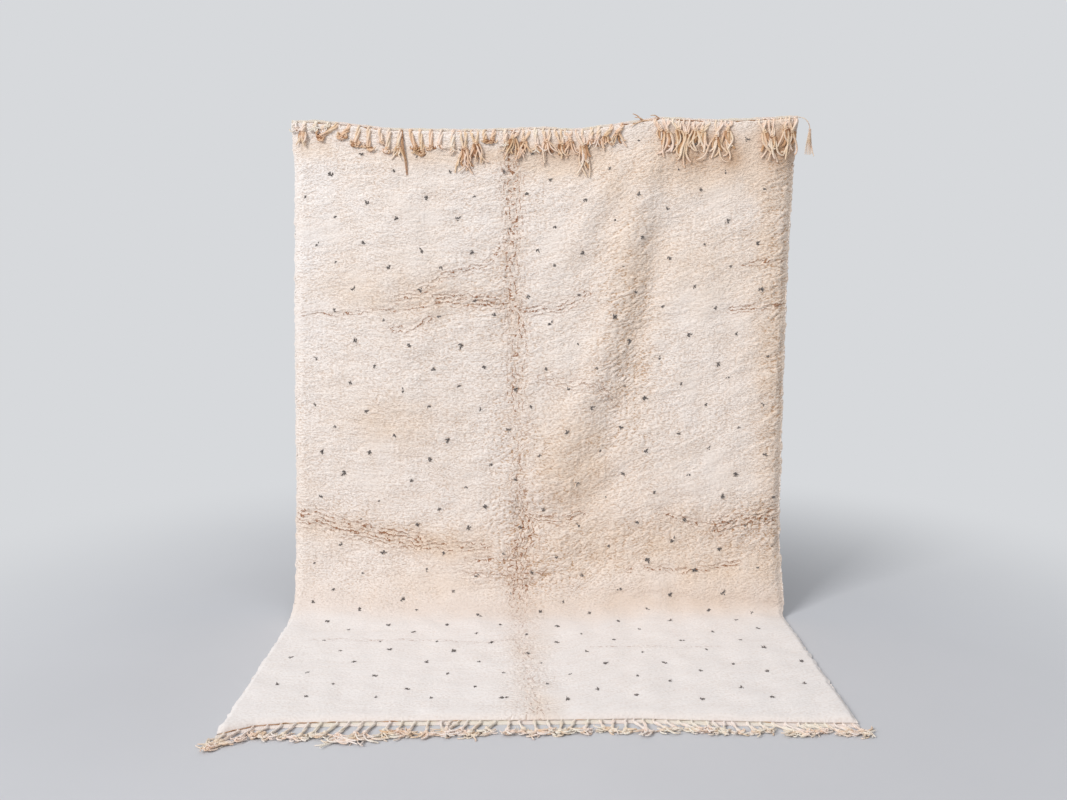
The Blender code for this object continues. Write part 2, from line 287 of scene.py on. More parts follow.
def cloth_grid(cell, columns):
    """across and row of a grid of that many columns, whose cells are about that long."""
    rows, first = [], 0
    for stretch, length in ((HUNG, HUNG_LONG), (BEND, BEND_LONG), (LAID, LAID_LONG)):
        rows.append(np.linspace(first, first + stretch, round(length / cell), endpoint=False))
        first += stretch
    rows = np.concatenate(rows + [[first]])
    return np.meshgrid(np.linspace(-1, 1, columns + 1), rows)


def cloth_normals(x, y, z):
    """Unit normals towards the pile side of a grid of points."""
    points = np.stack([x, y, z], axis=-1)
    along, down = np.gradient(points, axis=1), np.gradient(points, axis=0)
    normal = np.cross(down, along)
    return normal / np.linalg.norm(normal, axis=-1, keepdims=True)


def mesh_piece(name, points, faces, *materials):
    """A piece from its points and faces, linked to the scene."""
    mesh = bpy.data.meshes.new(name)
    mesh.from_pydata(points, [], faces)
    for material in materials:
        mesh.materials.append(material)
    piece = bpy.data.objects.new(name, mesh)
    bpy.context.scene.collection.objects.link(piece)
    return piece


def keep_on(piece, slot, *nodes):
    """Every piece moves with the one body; nodes are the plain solids that it stands for."""
    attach(piece, "root")
    if nodes:
        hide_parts(*nodes)


def set_values(mesh, name, values, size=1):
    """A point attribute of single values, or of vectors."""
    attribute = mesh.attributes.new(name, "FLOAT" if size == 1 else "FLOAT_VECTOR", "POINT")
    attribute.data.foreach_set("value" if size == 1 else "vector", np.asarray(values, np.float32).ravel())


def set_flat_places(mesh, places):
    """A UV map of where each point lies on the flat cloth, across and along it."""
    layer = mesh.uv_layers.new(name="cloth")
    loops = np.zeros(len(mesh.loops), np.int32)
    mesh.loops.foreach_get("vertex_index", loops)
    layer.data.foreach_set("uv", places[loops].astype(np.float32).ravel())


def closed_grid(rows, columns, coarse=1):
    """Faces of a slab from two grids of points, the pile side's first; its underside's cells are
    coarse by coarse ones, but for the borders, where every point is used."""
    def upper(r, c):
        return r * (columns + 1) + c

    under = (rows + 1) * (columns + 1)
    faces = [(upper(r, c), upper(r + 1, c), upper(r + 1, c + 1), upper(r, c + 1))
             for r in range(rows) for c in range(columns)]
    row_cuts = sorted({*range(0, rows, coarse), rows})
    column_cuts = sorted({*range(0, columns, coarse), columns})
    for r0, r1 in zip(row_cuts, row_cuts[1:]):
        for c0, c1 in zip(column_cuts, column_cuts[1:]):
            top = range(c0, c1 + 1) if r0 == 0 else (c0, c1)
            right = range(r0 + 1, r1) if c1 == columns else ()
            bottom = range(c1, c0 - 1, -1) if r1 == rows else (c1, c0)
            left = range(r1 - 1, r0, -1) if c0 == 0 else ()
            faces.append([under + upper(r0, c) for c in top] + [under + upper(r, c1) for r in right]
                         + [under + upper(r1, c) for c in bottom] + [under + upper(r, c0) for r in left])
    rim = ([(0, c) for c in range(columns)] + [(r, columns) for r in range(rows)]
           + [(rows, c) for c in range(columns, 0, -1)] + [(r, 0) for r in range(rows, 0, -1)])
    for (r0, c0), (r1, c1) in zip(rim, rim[1:] + rim[:1]):
        faces.append((upper(r0, c0), upper(r1, c1), under + upper(r1, c1), under + upper(r0, c0)))
    return faces


# Woven ground: dry cream wool. Seen from behind, each knot is a pair of small bumps in level rows.
ground_wool, tree, output = new_material("woven wool ground")
KNOT_WIDE, KNOT_HIGH = 0.011, 0.014
flat = add(tree, "ShaderNodeUVMap", uv_map="cloth").outputs["UV"]
bricks = add(tree, "ShaderNodeTexBrick", {"Vector": flat, "Color1": linear("F0E9DF"),
                                          "Color2": linear("E6DCCE"), "Mortar": linear("C6B49E"),
                                          "Scale": 1.0, "Mortar Size": 0.0012, "Mortar Smooth": 1.0,
                                          "Bias": 0.0, "Brick Width": KNOT_WIDE, "Row Height": KNOT_HIGH})
patchy = add(tree, "ShaderNodeTexNoise", {"Vector": flat, "Scale": 9.0, "Detail": 3.0})
tinted = add(tree, "ShaderNodeMix", {0: patchy.outputs["Fac"], 6: bricks.outputs["Color"],
                                     7: linear("F4ECE2")}, data_type="RGBA", blend_type="MULTIPLY")
fibre = add(tree, "ShaderNodeTexNoise", {"Vector": flat, "Scale": 900.0, "Detail": 2.0})
lift = add(tree, "ShaderNodeMath", {0: bricks.outputs["Fac"], 1: -0.8}, operation="MULTIPLY")
lift = add(tree, "ShaderNodeMath", {0: fibre.outputs["Fac"], 1: lift.outputs[0]}, operation="ADD")
bump = add(tree, "ShaderNodeBump", {"Height": lift.outputs[0], "Strength": 0.9, "Distance": 0.002})
wool = add(tree, "ShaderNodeBsdfPrincipled", {"Base Color": tinted.outputs[2], "Roughness": 0.95,
                                              "Normal": bump.outputs[0], "Specular IOR Level": 0.15,
                                              "Sheen Weight": 0.2, "Sheen Roughness": 0.5})
tree.links.new(wool.outputs[0], output.inputs["Surface"])

across, row = cloth_grid(GROUND_CELL, GROUND_COLUMNS)
x, y, z, path = cloth_back(across, row)
normal = cloth_normals(x, y, z)
back = np.stack([x, y, z], axis=-1)
front = back + normal * GROUND_THICK
rows, columns = across.shape[0] - 1, across.shape[1] - 1
ground = mesh_piece("woven_ground", np.concatenate([front.reshape(-1, 3), back.reshape(-1, 3)]),
                    closed_grid(rows, columns), ground_wool)
set_flat_places(ground.data, np.tile(np.stack([x, path], axis=-1).reshape(-1, 2), (2, 1)))
ground.data.shade_smooth()

# ---------------------------------------------------------------------------------------------------
# The pile: soft ivory wool tied in level rows and cut about 2 cm long, so that it has felted into
# small curds. It is made in four lengths of the same cloth, which meet edge to edge.

PILE_HEIGHT, RIM_HEIGHT, RIM_ROUND = 0.021, 0.009, 0.040
END_HEIGHT, TOP_ROUND, FRONT_ROUND = 0.007, 0.012, 0.030
CELL_WIDE, CELL_LONG, UNDERSIDE_COARSE = 0.0050, 0.0040, 8
LENGTHS = ("pile_upper", "pile_middle", "pile_lower", "pile_foot")
LENGTH_CUTS = (0.0, 0.25, 0.5, 0.75, 1.0)  # shares of the cloth's rows

# half width, strength and line of (x, path) points of the soft creases, where the pile breaks open
# into bundles of level cracks
CREASES = (
    (0.038, 1.00, ((-1.00, 1.59), (-0.80, 1.635), (-0.57, 1.65), (-0.50, 1.665))),
    (0.026, 0.80, ((-0.52, 1.67), (-0.36, 1.68), (-0.22, 1.68))),
    (0.013, 0.80, ((-0.30, 1.735), (-0.18, 1.73), (-0.09, 1.735))),
    (0.042, 1.00, ((0.72, 1.63), (0.84, 1.60), (0.99, 1.58))),
    (0.016, 0.68, ((0.48, 1.57), (0.66, 1.62), (0.80, 1.62))),
    (0.020, 0.64, ((-0.59, 0.68), (-0.46, 0.64), (-0.40, 0.58), (-0.21, 0.53), (-0.13, 0.44))),
    (0.030, 0.96, ((-0.42, 0.67), (-0.24, 0.68), (-0.09, 0.71))),
    (0.024, 0.76, ((-0.07, 0.73), (0.08, 0.71), (0.18, 0.66))),
    (0.012, 0.80, ((0.80, 0.57), (0.98, 0.56))),
    (0.016, 0.84, ((0.76, 0.75), (0.99, 0.74))),
    (0.012, 0.64, ((-0.96, 0.77), (-0.80, 0.76), (-0.66, 0.73), (-0.45, 0.70))),
    (0.018, 0.76, ((-0.60, 0.79), (-0.52, 0.80), (-0.45, 0.75))),
    (0.020, 0.80, ((-0.06, 1.57), (0.07, 1.58), (0.17, 1.55))),
    (0.014, 0.76, ((0.36, 1.81), (0.56, 1.82), (0.80, 1.78))),
    (0.012, 0.68, ((-0.30, 1.79), (-0.10, 1.80), (0.05, 1.79))),
    (0.030, 0.44, ((0.00, 1.00), (0.22, 1.02), (0.30, 1.12))),
    (0.014, 0.34, ((-0.86, 2.27), (-0.52, 2.24), (-0.25, 2.26), (-0.06, 2.24))),
    (0.012, 0.26, ((0.18, 2.31), (0.46, 2.34), (0.66, 2.33))),
)
# the long parting down the middle: its half width, its line of (x, path) points, and how far it
# stands open along the path
PARTING_HALF = 0.044
PARTING = np.array(((-0.125, 0.10), (-0.110, 0.30), (-0.125, 0.52), (-0.095, 0.75), (-0.105, 1.00),
                    (-0.085, 1.25), (-0.085, 1.45), (-0.060, 1.60), (-0.090, 1.78), (-0.085, 1.98),
                    (-0.085, 2.20), (-0.050, 2.50), (-0.020, 2.84)))
OPEN_AT = np.array(((0.10, 0.85), (0.35, 1.00), (0.80, 0.95), (1.00, 0.58), (1.38, 0.58), (1.52, 0.85),
                    (1.72, 0.88), (1.90, 0.60), (2.10, 0.36), (2.45, 0.34), (2.84, 0.50)))
CRACK_APART = 0.0165
# x, path, half width, half height and strength of the areas where the wool is more ruffled
RUFFLED = (
    (-0.12, 1.00, 0.10, 1.10, 0.45), (0.96, 0.85, 0.08, 0.90, 0.95), (0.36, 0.75, 0.12, 0.45, 0.70),
    (0.28, 1.20, 0.14, 0.30, 0.35), (0.40, 1.70, 0.60, 0.14, 0.45), (-0.62, 1.62, 0.45, 0.10, 0.35),
    (0.55, 0.20, 0.35, 0.12, 0.25), (-0.30, 0.62, 0.25, 0.15, 0.30), (0.10, 1.38, 0.16, 0.26, 0.50),
    (0.02, 1.80, 0.16, 0.12, 0.60), (0.86, 1.58, 0.16, 0.08, 0.45),
    (0.62, 0.14, 0.17, 0.06, 0.50), (0.95, 0.13, 0.08, 0.07, 0.60), (-0.66, 0.40, 0.30, 0.20, -0.12),
    (-0.60, 1.05, 0.35, 0.30, 0.12),
)
# the same for the painted shade of the hanging tassels on the wool, and the dust that lies there
TASSEL_SHADE_AND_DUST = (
    (0.61, 0.07, 0.17, 0.05, 0.55), (0.95, 0.07, 0.09, 0.05, 0.60), (0.62, 0.18, 0.17, 0.06, 0.30),
    (0.94, 0.17, 0.09, 0.07, 0.40), (0.10, 0.09, 0.14, 0.05, 0.50), (-0.24, 0.10, 0.06, 0.04, 0.34),
    (-0.48, 0.12, 0.06, 0.04, 0.20), (0.59, 0.150, 0.07, 0.035, 0.50), (0.76, 0.145, 0.050, 0.050, 0.68),
    (0.96, 0.115, 0.060, 0.055, 0.60), (0.57, 0.075, 0.035, 0.050, 0.45), (0.74, 0.070, 0.035, 0.040, 0.40),
)
# and for the areas where it is sandier, some of them painted shade in the creases and under the tassels
SANDY_AND_SHADE = (
    (0.95, 0.80, 0.10, 0.90, 0.58), (0.40, 1.72, 0.55, 0.14, 0.34), (-0.68, 1.64, 0.36, 0.06, 0.45),
    (-0.38, 1.69, 0.14, 0.05, 0.55), (0.36, 0.75, 0.10, 0.35, 0.40), (0.14, 1.35, 0.16, 0.25, 0.55),
    (-0.42, 1.84, 0.20, 0.06, 0.30), (0.78, 1.81, 0.22, 0.07, 0.35),
    (-0.60, 0.66, 0.35, 0.10, 0.40), (0.75, 1.62, 0.35, 0.10, 0.12), (0.50, 1.94, 0.55, 0.07, 0.30),
    (0.30, 0.25, 0.10, 0.12, 0.30), (-0.62, 1.18, 0.22, 0.10, 0.40), (0.60, 0.55, 0.25, 0.12, 0.30),
    (-0.92, 0.10, 0.08, 0.05, 0.80), (0.08, 0.12, 0.16, 0.06, 1.30), (0.62, 0.16, 0.18, 0.10, 1.20),
    (0.94, 0.16, 0.09, 0.11, 1.40), (-0.35, 0.10, 0.30, 0.04, 0.60), (-0.05, 2.30, 0.09, 0.30, 0.40),
    (-0.01, 2.78, 0.09, 0.12, 0.55),
)


def curds(x, path, wide, high, seed):
    """The height from 0 to about 1 of felted curds that size, with sharp cracks between them."""
    return np.minimum(np.abs(drift(x / wide, path / high, 1.0, seed)) * 2.2, 1.2)


def patches(x, path, areas):
    """The strengths of soft oval areas, summed at each place on the cloth."""
    return sum(share * bell(np.hypot((x - cx) / wide, (path - cp) / high), 1.0)
               for cx, cp, wide, high, share in areas)


columns = round(CLOTH_WIDE / CELL_WIDE)
across, row = cloth_grid(CELL_LONG, columns)
x, y, z, path = cloth_back(across, row)
normal = cloth_normals(x, y, z)
rows = across.shape[0] - 1
to_side = 1 - np.abs(across)
to_front = path[-1] - path

# on the floor the wool is pressed flat, and its tone is paler there than where it hangs
laid = smooth((path - 1.84) / 0.20)
floor_paleness = smooth((path - 1.76) / 0.42)
in_from_edge = smooth(to_side / 0.014)

# the curds wander across the level courses of knots, and sink a little towards the right
flow = 0.08 + 0.27 * smooth((x + 0.6) / 0.8)
bent_x = x + 0.007 * drift(x, path, 0.040, 11) + 0.015 * drift(x, path, 0.12, 12)
bent_p = path + flow * x + 0.006 * drift(x, path, 0.033, 13) + 0.020 * drift(x, path, 0.19, 14)
seam = drift(bent_x / 0.036, bent_p / 0.0155, 1.0, 21)
level = np.minimum(np.abs(seam) * 2.2, 1.2)
small = curds(bent_x, bent_p, 0.020, 0.0098, 22)
pips = drift(bent_x * 0.55, bent_p, 0.0095, 26)
billow = drift(bent_x * 0.75, bent_p * 1.7, 0.080, 27)
course = drift(bent_x / 0.120, bent_p / 0.021, 1.0, 28)
lump = [noise.noise((a * 10.0, b * 10.0, 7)) for a, b in zip(x.ravel(), path.ravel())]
lump = np.array(lump).reshape(x.shape)

# how ruffled it is: least on the floor, but for a band down the middle
rough = 0.30 + patches(x, path, RUFFLED) + 0.30 * drift(x, path * 1.3, 0.30, 51)
rough = rough + 0.22 * drift(x, path, 0.09, 54)
down_middle = bell(x + 0.045, 0.085)
rough = np.clip(rough, 0.10, 1.15) * (1 - 0.84 * laid * (1 - 0.75 * down_middle)) * in_from_edge

# creases and the parting open in bundles of thin cracks side by side
split, phase = np.zeros(x.shape), np.zeros(x.shape)
for number, (half, strength, line) in enumerate(CREASES):
    off = from_line(x, path, line)[1]
    here = bell(off, half) * strength
    off = off + 0.0120 * drift(x, path * 1.5, 0.070, 31) + 0.0080 * drift(x, path * 1.6, 0.026, 32)
    off = off + 0.0035 * pips
    phase = np.where(here > split, off / CRACK_APART + 0.37 * number, phase)
    split = np.maximum(split, here)
creased = split.copy()
split = np.minimum(split * 1.25, 1.0) * smooth((drift(x / 0.038, path / 0.012, 1.0, 33) + 0.38) / 0.40)

off = x - np.interp(path, PARTING[:, 1], PARTING[:, 0]) + 0.010 * drift(x * 0.3, path, 0.11, 15)
low_part = bell(path - 1.74, 0.17)
opened = bell(off, PARTING_HALF * (1 + 0.40 * low_part)) * np.interp(path, OPEN_AT[:, 0], OPEN_AT[:, 1])
opened = opened * np.clip(0.90 + 0.5 * drift(x * 0.2, path, 0.16, 17), 0.3, 1.3)
off = off + 0.0240 * drift(x, path, 0.055, 34) + 0.0110 * drift(x, path, 0.022, 35)
parted = smooth((drift(x / 0.013, path / 0.024, 1.0, 36) + 0.25 + 0.25 * low_part) / 0.35)
parted = np.minimum(opened * 1.3, 1.0) * parted
phase = np.where(parted > split, off / (CRACK_APART * 1.35), phase)
split = np.clip(np.maximum(split, parted), 0.0, 1.0) * in_from_edge
crack = split * np.maximum(1 - 1.6 * np.abs(np.sin(math.pi * phase)), 0.0)

# the height of the pile over the ground
textured = rough * (0.0030 * (level - 0.6) + 0.0032 * (small - 0.6)) + (0.0014 - 0.0011 * laid) * pips
textured = textured * (1 - 0.3 * opened) + (0.0024 - 0.0014 * laid) * billow
textured = textured - (0.0012 - 0.0007 * laid) * bell(course, 0.22)
textured = textured - 0.0076 * crack - 0.0016 * creased + 0.0030 * opened * drift(x, path, 0.018, 37)
full = PILE_HEIGHT + 0.006 * lump - 0.003 * opened + textured
height = RIM_HEIGHT + (full - RIM_HEIGHT) * smooth(to_side / (RIM_ROUND * (1 - 0.55 * laid)))
to_end = np.clip(np.minimum((path + 0.004) / TOP_ROUND, to_front / FRONT_ROUND), 0.0, 1.0)
height = END_HEIGHT + (height - END_HEIGHT) * np.sqrt(1 - (1 - to_end) ** 2)
height = np.clip(height, 0.005, 0.034)

# painted shade deepens its tone in the creases, at the front edge, at the bend and under the tassels, with
# dust
shade_and_dust = 0.09 * creased + 0.05 * opened + 0.15 * bell(to_front, 0.022)
shade_and_dust = shade_and_dust + 0.04 * bell(path - 1.84, 0.05) + 0.27 * bell(path - 1.95, 0.09)
shade_and_dust = shade_and_dust + patches(x, path, TASSEL_SHADE_AND_DUST)

# and where it is sandier, in part as a real tone and in part as painted shade: down the parting, and
# more on the hung part's right than on its left
sandy_and_shade = patches(x, path, SANDY_AND_SHADE) * (1 + 0.45 * drift(x, path, 0.06, 57))
sandy_and_shade = sandy_and_shade + 0.22 * np.minimum(opened, 1.0) + 0.42 * (1 - floor_paleness) - 0.06 * floor_paleness
sandy_and_shade = sandy_and_shade + 0.09 * smooth((x + 0.1) / 0.3) * (1 - floor_paleness)
sandy_and_shade = sandy_and_shade - 0.22 * bell(x + 0.96, 0.12) * smooth((1.2 - path) / 0.5)
sandy_and_shade = sandy_and_shade + 0.10 * drift(x, path, 0.09, 52) + 0.09 * drift(x, path, 0.25, 53)
sandy_and_shade = np.clip(sandy_and_shade, 0.0, 1.0)

# Ivory pile wool: dull, warm white at the tips and sandier down between the tufts, where shade is painted
# into its tone. Its fibres are far finer than the mesh, so they are in the bump.
pile_wool, tree, output = new_material("ivory pile wool")
flat = add(tree, "ShaderNodeUVMap", uv_map="cloth").outputs["UV"]
PILE_VALUES = {"shade_and_dust": shade_and_dust, "sandy_and_shade": sandy_and_shade, "rough": rough, "seam": seam, "split": split,
               "phase": phase, "course": course}
shade_and_dust_at, sandy_and_shade_at, rough_at, seam_at, split_at, phase_at, course_at = (
    add(tree, "ShaderNodeAttribute", attribute_name=label).outputs["Fac"] for label in PILE_VALUES)
tip = add(tree, "ShaderNodeMix", {0: sandy_and_shade_at, 6: linear("F2ECE9"), 7: linear("E8D5C4")}, data_type="RGBA")
# the small locks, 12 by 7 mm and less, as a broken surface with painted shade in a few gaps between them
bend = add(tree, "ShaderNodeTexNoise", {"Vector": flat, "Scale": 45.0, "Detail": 2.0})
shove = add(tree, "ShaderNodeVectorMath", {0: bend.outputs["Color"], "Scale": 0.012}, operation="SCALE")
moved = add(tree, "ShaderNodeVectorMath", {0: flat, 1: shove.outputs[0]}, operation="ADD")
cell = add(tree, "ShaderNodeMapping", {"Vector": moved.outputs[0], "Scale": (95.0, 165.0, 1.0)})
lock = add(tree, "ShaderNodeTexNoise", {"Vector": cell.outputs[0], "Scale": 1.0, "Detail": 2.0,
                                        "Roughness": 0.5}).outputs["Fac"]
gap_shade = add(tree, "ShaderNodeMapRange", {"Value": lock, "From Min": 0.30, "From Max": 0.44, "To Min": 0.74,
                                       "To Max": 0.0})
ruffled = add(tree, "ShaderNodeMapRange", {"Value": rough_at, "To Min": 0.12, "To Max": 1.0})
gap_shade = add(tree, "ShaderNodeMath", {0: gap_shade.outputs[0], 1: ruffled.outputs[0]}, operation="MULTIPLY")
calm = add(tree, "ShaderNodeMapRange", {"Value": rough_at, "From Min": 0.04, "From Max": 0.26,
                                        "To Min": 0.40, "To Max": 1.0})
# thin cracks of painted shade: between the curds, and side by side in the creases and the parting
edge = add(tree, "ShaderNodeMath", {0: seam_at}, operation="ABSOLUTE")
edge = add(tree, "ShaderNodeMapRange", {"Value": edge.outputs[0], "From Min": 0.02, "From Max": 0.24,
                                        "To Min": 0.98, "To Max": 0.0})
edge = add(tree, "ShaderNodeMath", {0: edge.outputs[0], 1: rough_at}, operation="MULTIPLY")
broken = add(tree, "ShaderNodeMapRange", {"Value": lock, "From Min": 0.40, "From Max": 0.56,
                                          "To Min": 1.15, "To Max": 0.10})
edge = add(tree, "ShaderNodeMath", {0: edge.outputs[0], 1: broken.outputs[0]}, operation="MULTIPLY")
# and faint painted shade lines between the courses of knots
faint = add(tree, "ShaderNodeMath", {0: course_at}, operation="ABSOLUTE")
faint = add(tree, "ShaderNodeMapRange", {"Value": faint.outputs[0], "From Min": 0.02, "From Max": 0.26,
                                         "To Min": 0.34, "To Max": 0.0})
faint = add(tree, "ShaderNodeMath", {0: faint.outputs[0], 1: broken.outputs[0]}, operation="MULTIPLY")
faint = add(tree, "ShaderNodeMath", {0: faint.outputs[0], 1: calm.outputs[0]}, operation="MULTIPLY")
edge = add(tree, "ShaderNodeMath", {0: edge.outputs[0], 1: faint.outputs[0]}, operation="MAXIMUM")
# painted shade: in the creases and the parting the cracks are mixed towards a deep brown
jag = add(tree, "ShaderNodeMath", {0: lock, 1: 1.2, 2: phase_at}, operation="MULTIPLY_ADD")
turn = add(tree, "ShaderNodeMath", {0: jag.outputs[0], 1: math.pi}, operation="MULTIPLY")
turn = add(tree, "ShaderNodeMath", {0: turn.outputs[0]}, operation="SINE")
turn = add(tree, "ShaderNodeMath", {0: turn.outputs[0]}, operation="ABSOLUTE")
cut = add(tree, "ShaderNodeMapRange", {"Value": turn.outputs[0], "From Min": 0.10, "From Max": 0.49,
                                       "To Min": 1.42, "To Max": 0.0})
cut = add(tree, "ShaderNodeMath", {0: cut.outputs[0], 1: split_at}, operation="MULTIPLY", use_clamp=True)
# the painted shade and dust, with the shade painted into gaps and cracks, as a share of the tan root colour
dark = add(tree, "ShaderNodeMath", {0: shade_and_dust_at, 1: gap_shade.outputs[0]}, operation="ADD")
dark = add(tree, "ShaderNodeMath", {0: dark.outputs[0], 1: edge.outputs[0]}, operation="MAXIMUM")
shade_and_dust_share = add(tree, "ShaderNodeMath", {0: dark.outputs[0], 1: 1.0}, operation="MINIMUM")
# painted light and shade: raised locks are paler, and the calm pile, most of all on the floor, up to 7 %
# darker
pale = add(tree, "ShaderNodeMapRange", {"Value": lock, "From Min": 0.40, "From Max": 0.62,
                                        "To Min": -0.07, "To Max": 0.04})
calm_shade = add(tree, "ShaderNodeMapRange", {"Value": calm.outputs[0], "From Min": 0.40, "To Min": 0.93,
                                           "To Max": 1.0})
pale = add(tree, "ShaderNodeMath", {0: pale.outputs[0], 1: calm.outputs[0], 2: calm_shade.outputs[0]},
           operation="MULTIPLY_ADD")
lit_tip = add(tree, "ShaderNodeVectorMath", {0: tip.outputs[2], "Scale": pale.outputs[0]}, operation="SCALE")
# the tips are mixed towards a tan by the painted shade and dust, then towards a deep brown in the cracks
body = add(tree, "ShaderNodeMix", {0: shade_and_dust_share.outputs[0], 6: lit_tip.outputs[0], 7: linear("BC997A")},
           data_type="RGBA")
body = add(tree, "ShaderNodeMix", {0: cut.outputs[0], 6: body.outputs[2], 7: linear("905E3A")},
           data_type="RGBA")
grain = add(tree, "ShaderNodeMapping", {"Vector": flat, "Scale": (420.0, 150.0, 1.0)})
strand = add(tree, "ShaderNodeTexNoise", {"Vector": grain.outputs[0], "Scale": 1.0, "Detail": 3.0,
                                          "Roughness": 0.6, "Distortion": 1.5})
rise = add(tree, "ShaderNodeMath", {0: strand.outputs["Fac"], 1: 0.10}, operation="MULTIPLY")
rise = add(tree, "ShaderNodeMath", {0: rise.outputs[0], 1: lock}, operation="ADD")
deep = add(tree, "ShaderNodeMath", {0: calm.outputs[0], 1: 0.0058}, operation="MULTIPLY")
bump = add(tree, "ShaderNodeBump", {"Height": rise.outputs[0], "Strength": 1.0, "Distance": deep.outputs[0]})
wool = add(tree, "ShaderNodeBsdfPrincipled", {"Base Color": body.outputs[2], "Roughness": 0.95,
                                              "Normal": bump.outputs[0], "Specular IOR Level": 0.1,
                                              "Sheen Weight": 0.25, "Sheen Roughness": 0.6})
tree.links.new(wool.outputs[0], output.inputs["Surface"])

back = np.stack([x, y, z], axis=-1)
surface = back + normal * height[..., None]
underside = back + normal * (GROUND_THICK + 0.0003)
flat_place = np.stack([x, path], axis=-1)
# the long sides aren't straight: the rim swells and draws in, more so on the floor
uneven = 0.0046 * drift(x * 0.2, path, 0.030, 55) + 0.0030 * drift(x * 0.2, path, 0.012, 56)
uneven = uneven + 0.0060 * laid * drift(x * 0.2, path, 0.050, 58)
surface[..., 0] += uneven * smooth(1 - to_side / 0.03) * np.sign(across)

pile_pieces = []
for name, start, end in zip(LENGTHS, LENGTH_CUTS, LENGTH_CUTS[1:]):
    first, last = round(start * rows), round(end * rows)
    part = slice(first, last + 1)
    points = np.concatenate([surface[part].reshape(-1, 3), underside[part].reshape(-1, 3)])
    piece = mesh_piece(name, points, closed_grid(last - first, columns, UNDERSIDE_COARSE), pile_wool)
    mesh = piece.data
    for attribute, values in PILE_VALUES.items():
        set_values(mesh, attribute, np.tile(values[part].ravel(), 2))
    set_flat_places(mesh, np.tile(flat_place[part].reshape(-1, 2), (2, 1)))
    mesh.shade_smooth()
    ends = np.zeros(len(mesh.edges) * 2, np.int32)
    mesh.edges.foreach_get("vertices", ends)
    line, side = np.divmod(ends.reshape(-1, 2), columns + 1)
    on_rim = (((line == 0) | (line == last - first)).all(1) & (line[:, 0] == line[:, 1])
              | ((side == 0) | (side == columns)).all(1) & (side[:, 0] == side[:, 1]))
    mesh.attributes.new("sharp_edge", "BOOLEAN", "EDGE").data.foreach_set("value", on_rim)
    pile_pieces.append(piece)

keep_on(pile_pieces[0], "wool_pile", "rug_pile")
for piece in (*pile_pieces[1:], ground):
    keep_on(piece, "wool_pile")

# ---------------------------------------------------------------------------------------------------
# The charcoal knots: single tufts of dark wool tied in among the ivory ones, about 22 cm apart in
# rows 9.5 cm apart. Every second row is set between the places of the one before, none is exact, and
# each tuft shows on the back as a pair of small dark bumps.

DOT_APART, DOT_ROWS, DOT_ASTRAY = 0.225, 0.095, 0.030
FIRST_DOTS, LAST_DOTS = 0.085, 2.83  # from the hanging edge
DOT_SIZES, DOT_TURN = (0.62, 1.15), 3.14  # a tuft faces any way
LOCKS_IN_TUFT, LOCK_THICK = 12, 0.0062
LOCK_SIDES, LOCK_STEPS = 4, 2
OVER_FLOOR = 0.0003


def lock_shape(bm, start, lean, length, thick, curl):
    """A tapered bent lock that stands on z, leans towards an angle and ends in a point."""
    up = bm.verts.layers.float.get("up") or bm.verts.layers.float.new("up")
    turned = Vector((math.cos(lean), math.sin(lean), 0))
    beside = Vector((-turned.y, turned.x, 0))

    def bent(share):
        """How far the lock has turned by that share of its length, and its middle there."""
        angle, far = curl * share, length * share
        return angle, Vector(start) + turned * (far * math.sin(angle)) + Vector((0, 0, far * math.cos(angle)))

    rings = []
    for step in range(LOCK_STEPS):
        share = step / LOCK_STEPS
        angle, middle = bent(share)
        outward = turned * math.cos(angle) - Vector((0, 0, math.sin(angle)))
        wide = thick / 2 * (0.8 + 0.6 * share - 0.9 * share**2)
        ring = []
        for side in range(LOCK_SIDES):
            turn = 2 * math.pi * side / LOCK_SIDES
            ring.append(bm.verts.new(middle + (beside * math.cos(turn) + outward * math.sin(turn)) * wide))
            ring[-1][up] = share
        rings.append(ring)
    tip = bm.verts.new(bent(1.0)[1])
    tip[up] = 1.0
    for side in range(LOCK_SIDES):
        other = (side + 1) % LOCK_SIDES
        for lower, upper in zip(rings, rings[1:]):
            bm.faces.new((lower[side], lower[other], upper[other], upper[side]))
        bm.faces.new((rings[-1][side], rings[-1][other], tip))
    bm.faces.new(rings[0])


def shape_set(name, makers):
    """A collection, outside the scene, of the shapes that a scattering picks from."""
    collection = bpy.data.collections.new(name)
    for number, make in enumerate(makers):
        bm = bmesh.new()
        make(bm)
        bmesh.ops.recalc_face_normals(bm, faces=bm.faces[:])
        mesh = bpy.data.meshes.new(f"{name} {number}")
        bm.to_mesh(mesh)
        bm.free()
        mesh.shade_smooth()
        collection.objects.link(bpy.data.objects.new(f"{name} {number}", mesh))
    return collection


def new_inputs(tree, *rows):
    """Adds the tree's named inputs, and gives their values by the sockets' identifiers."""
    values = {}
    for label, kind, value in rows:
        socket = tree.interface.new_socket(label, in_out="INPUT", socket_type="NodeSocket" + kind)
        values[socket.identifier] = value
    return values


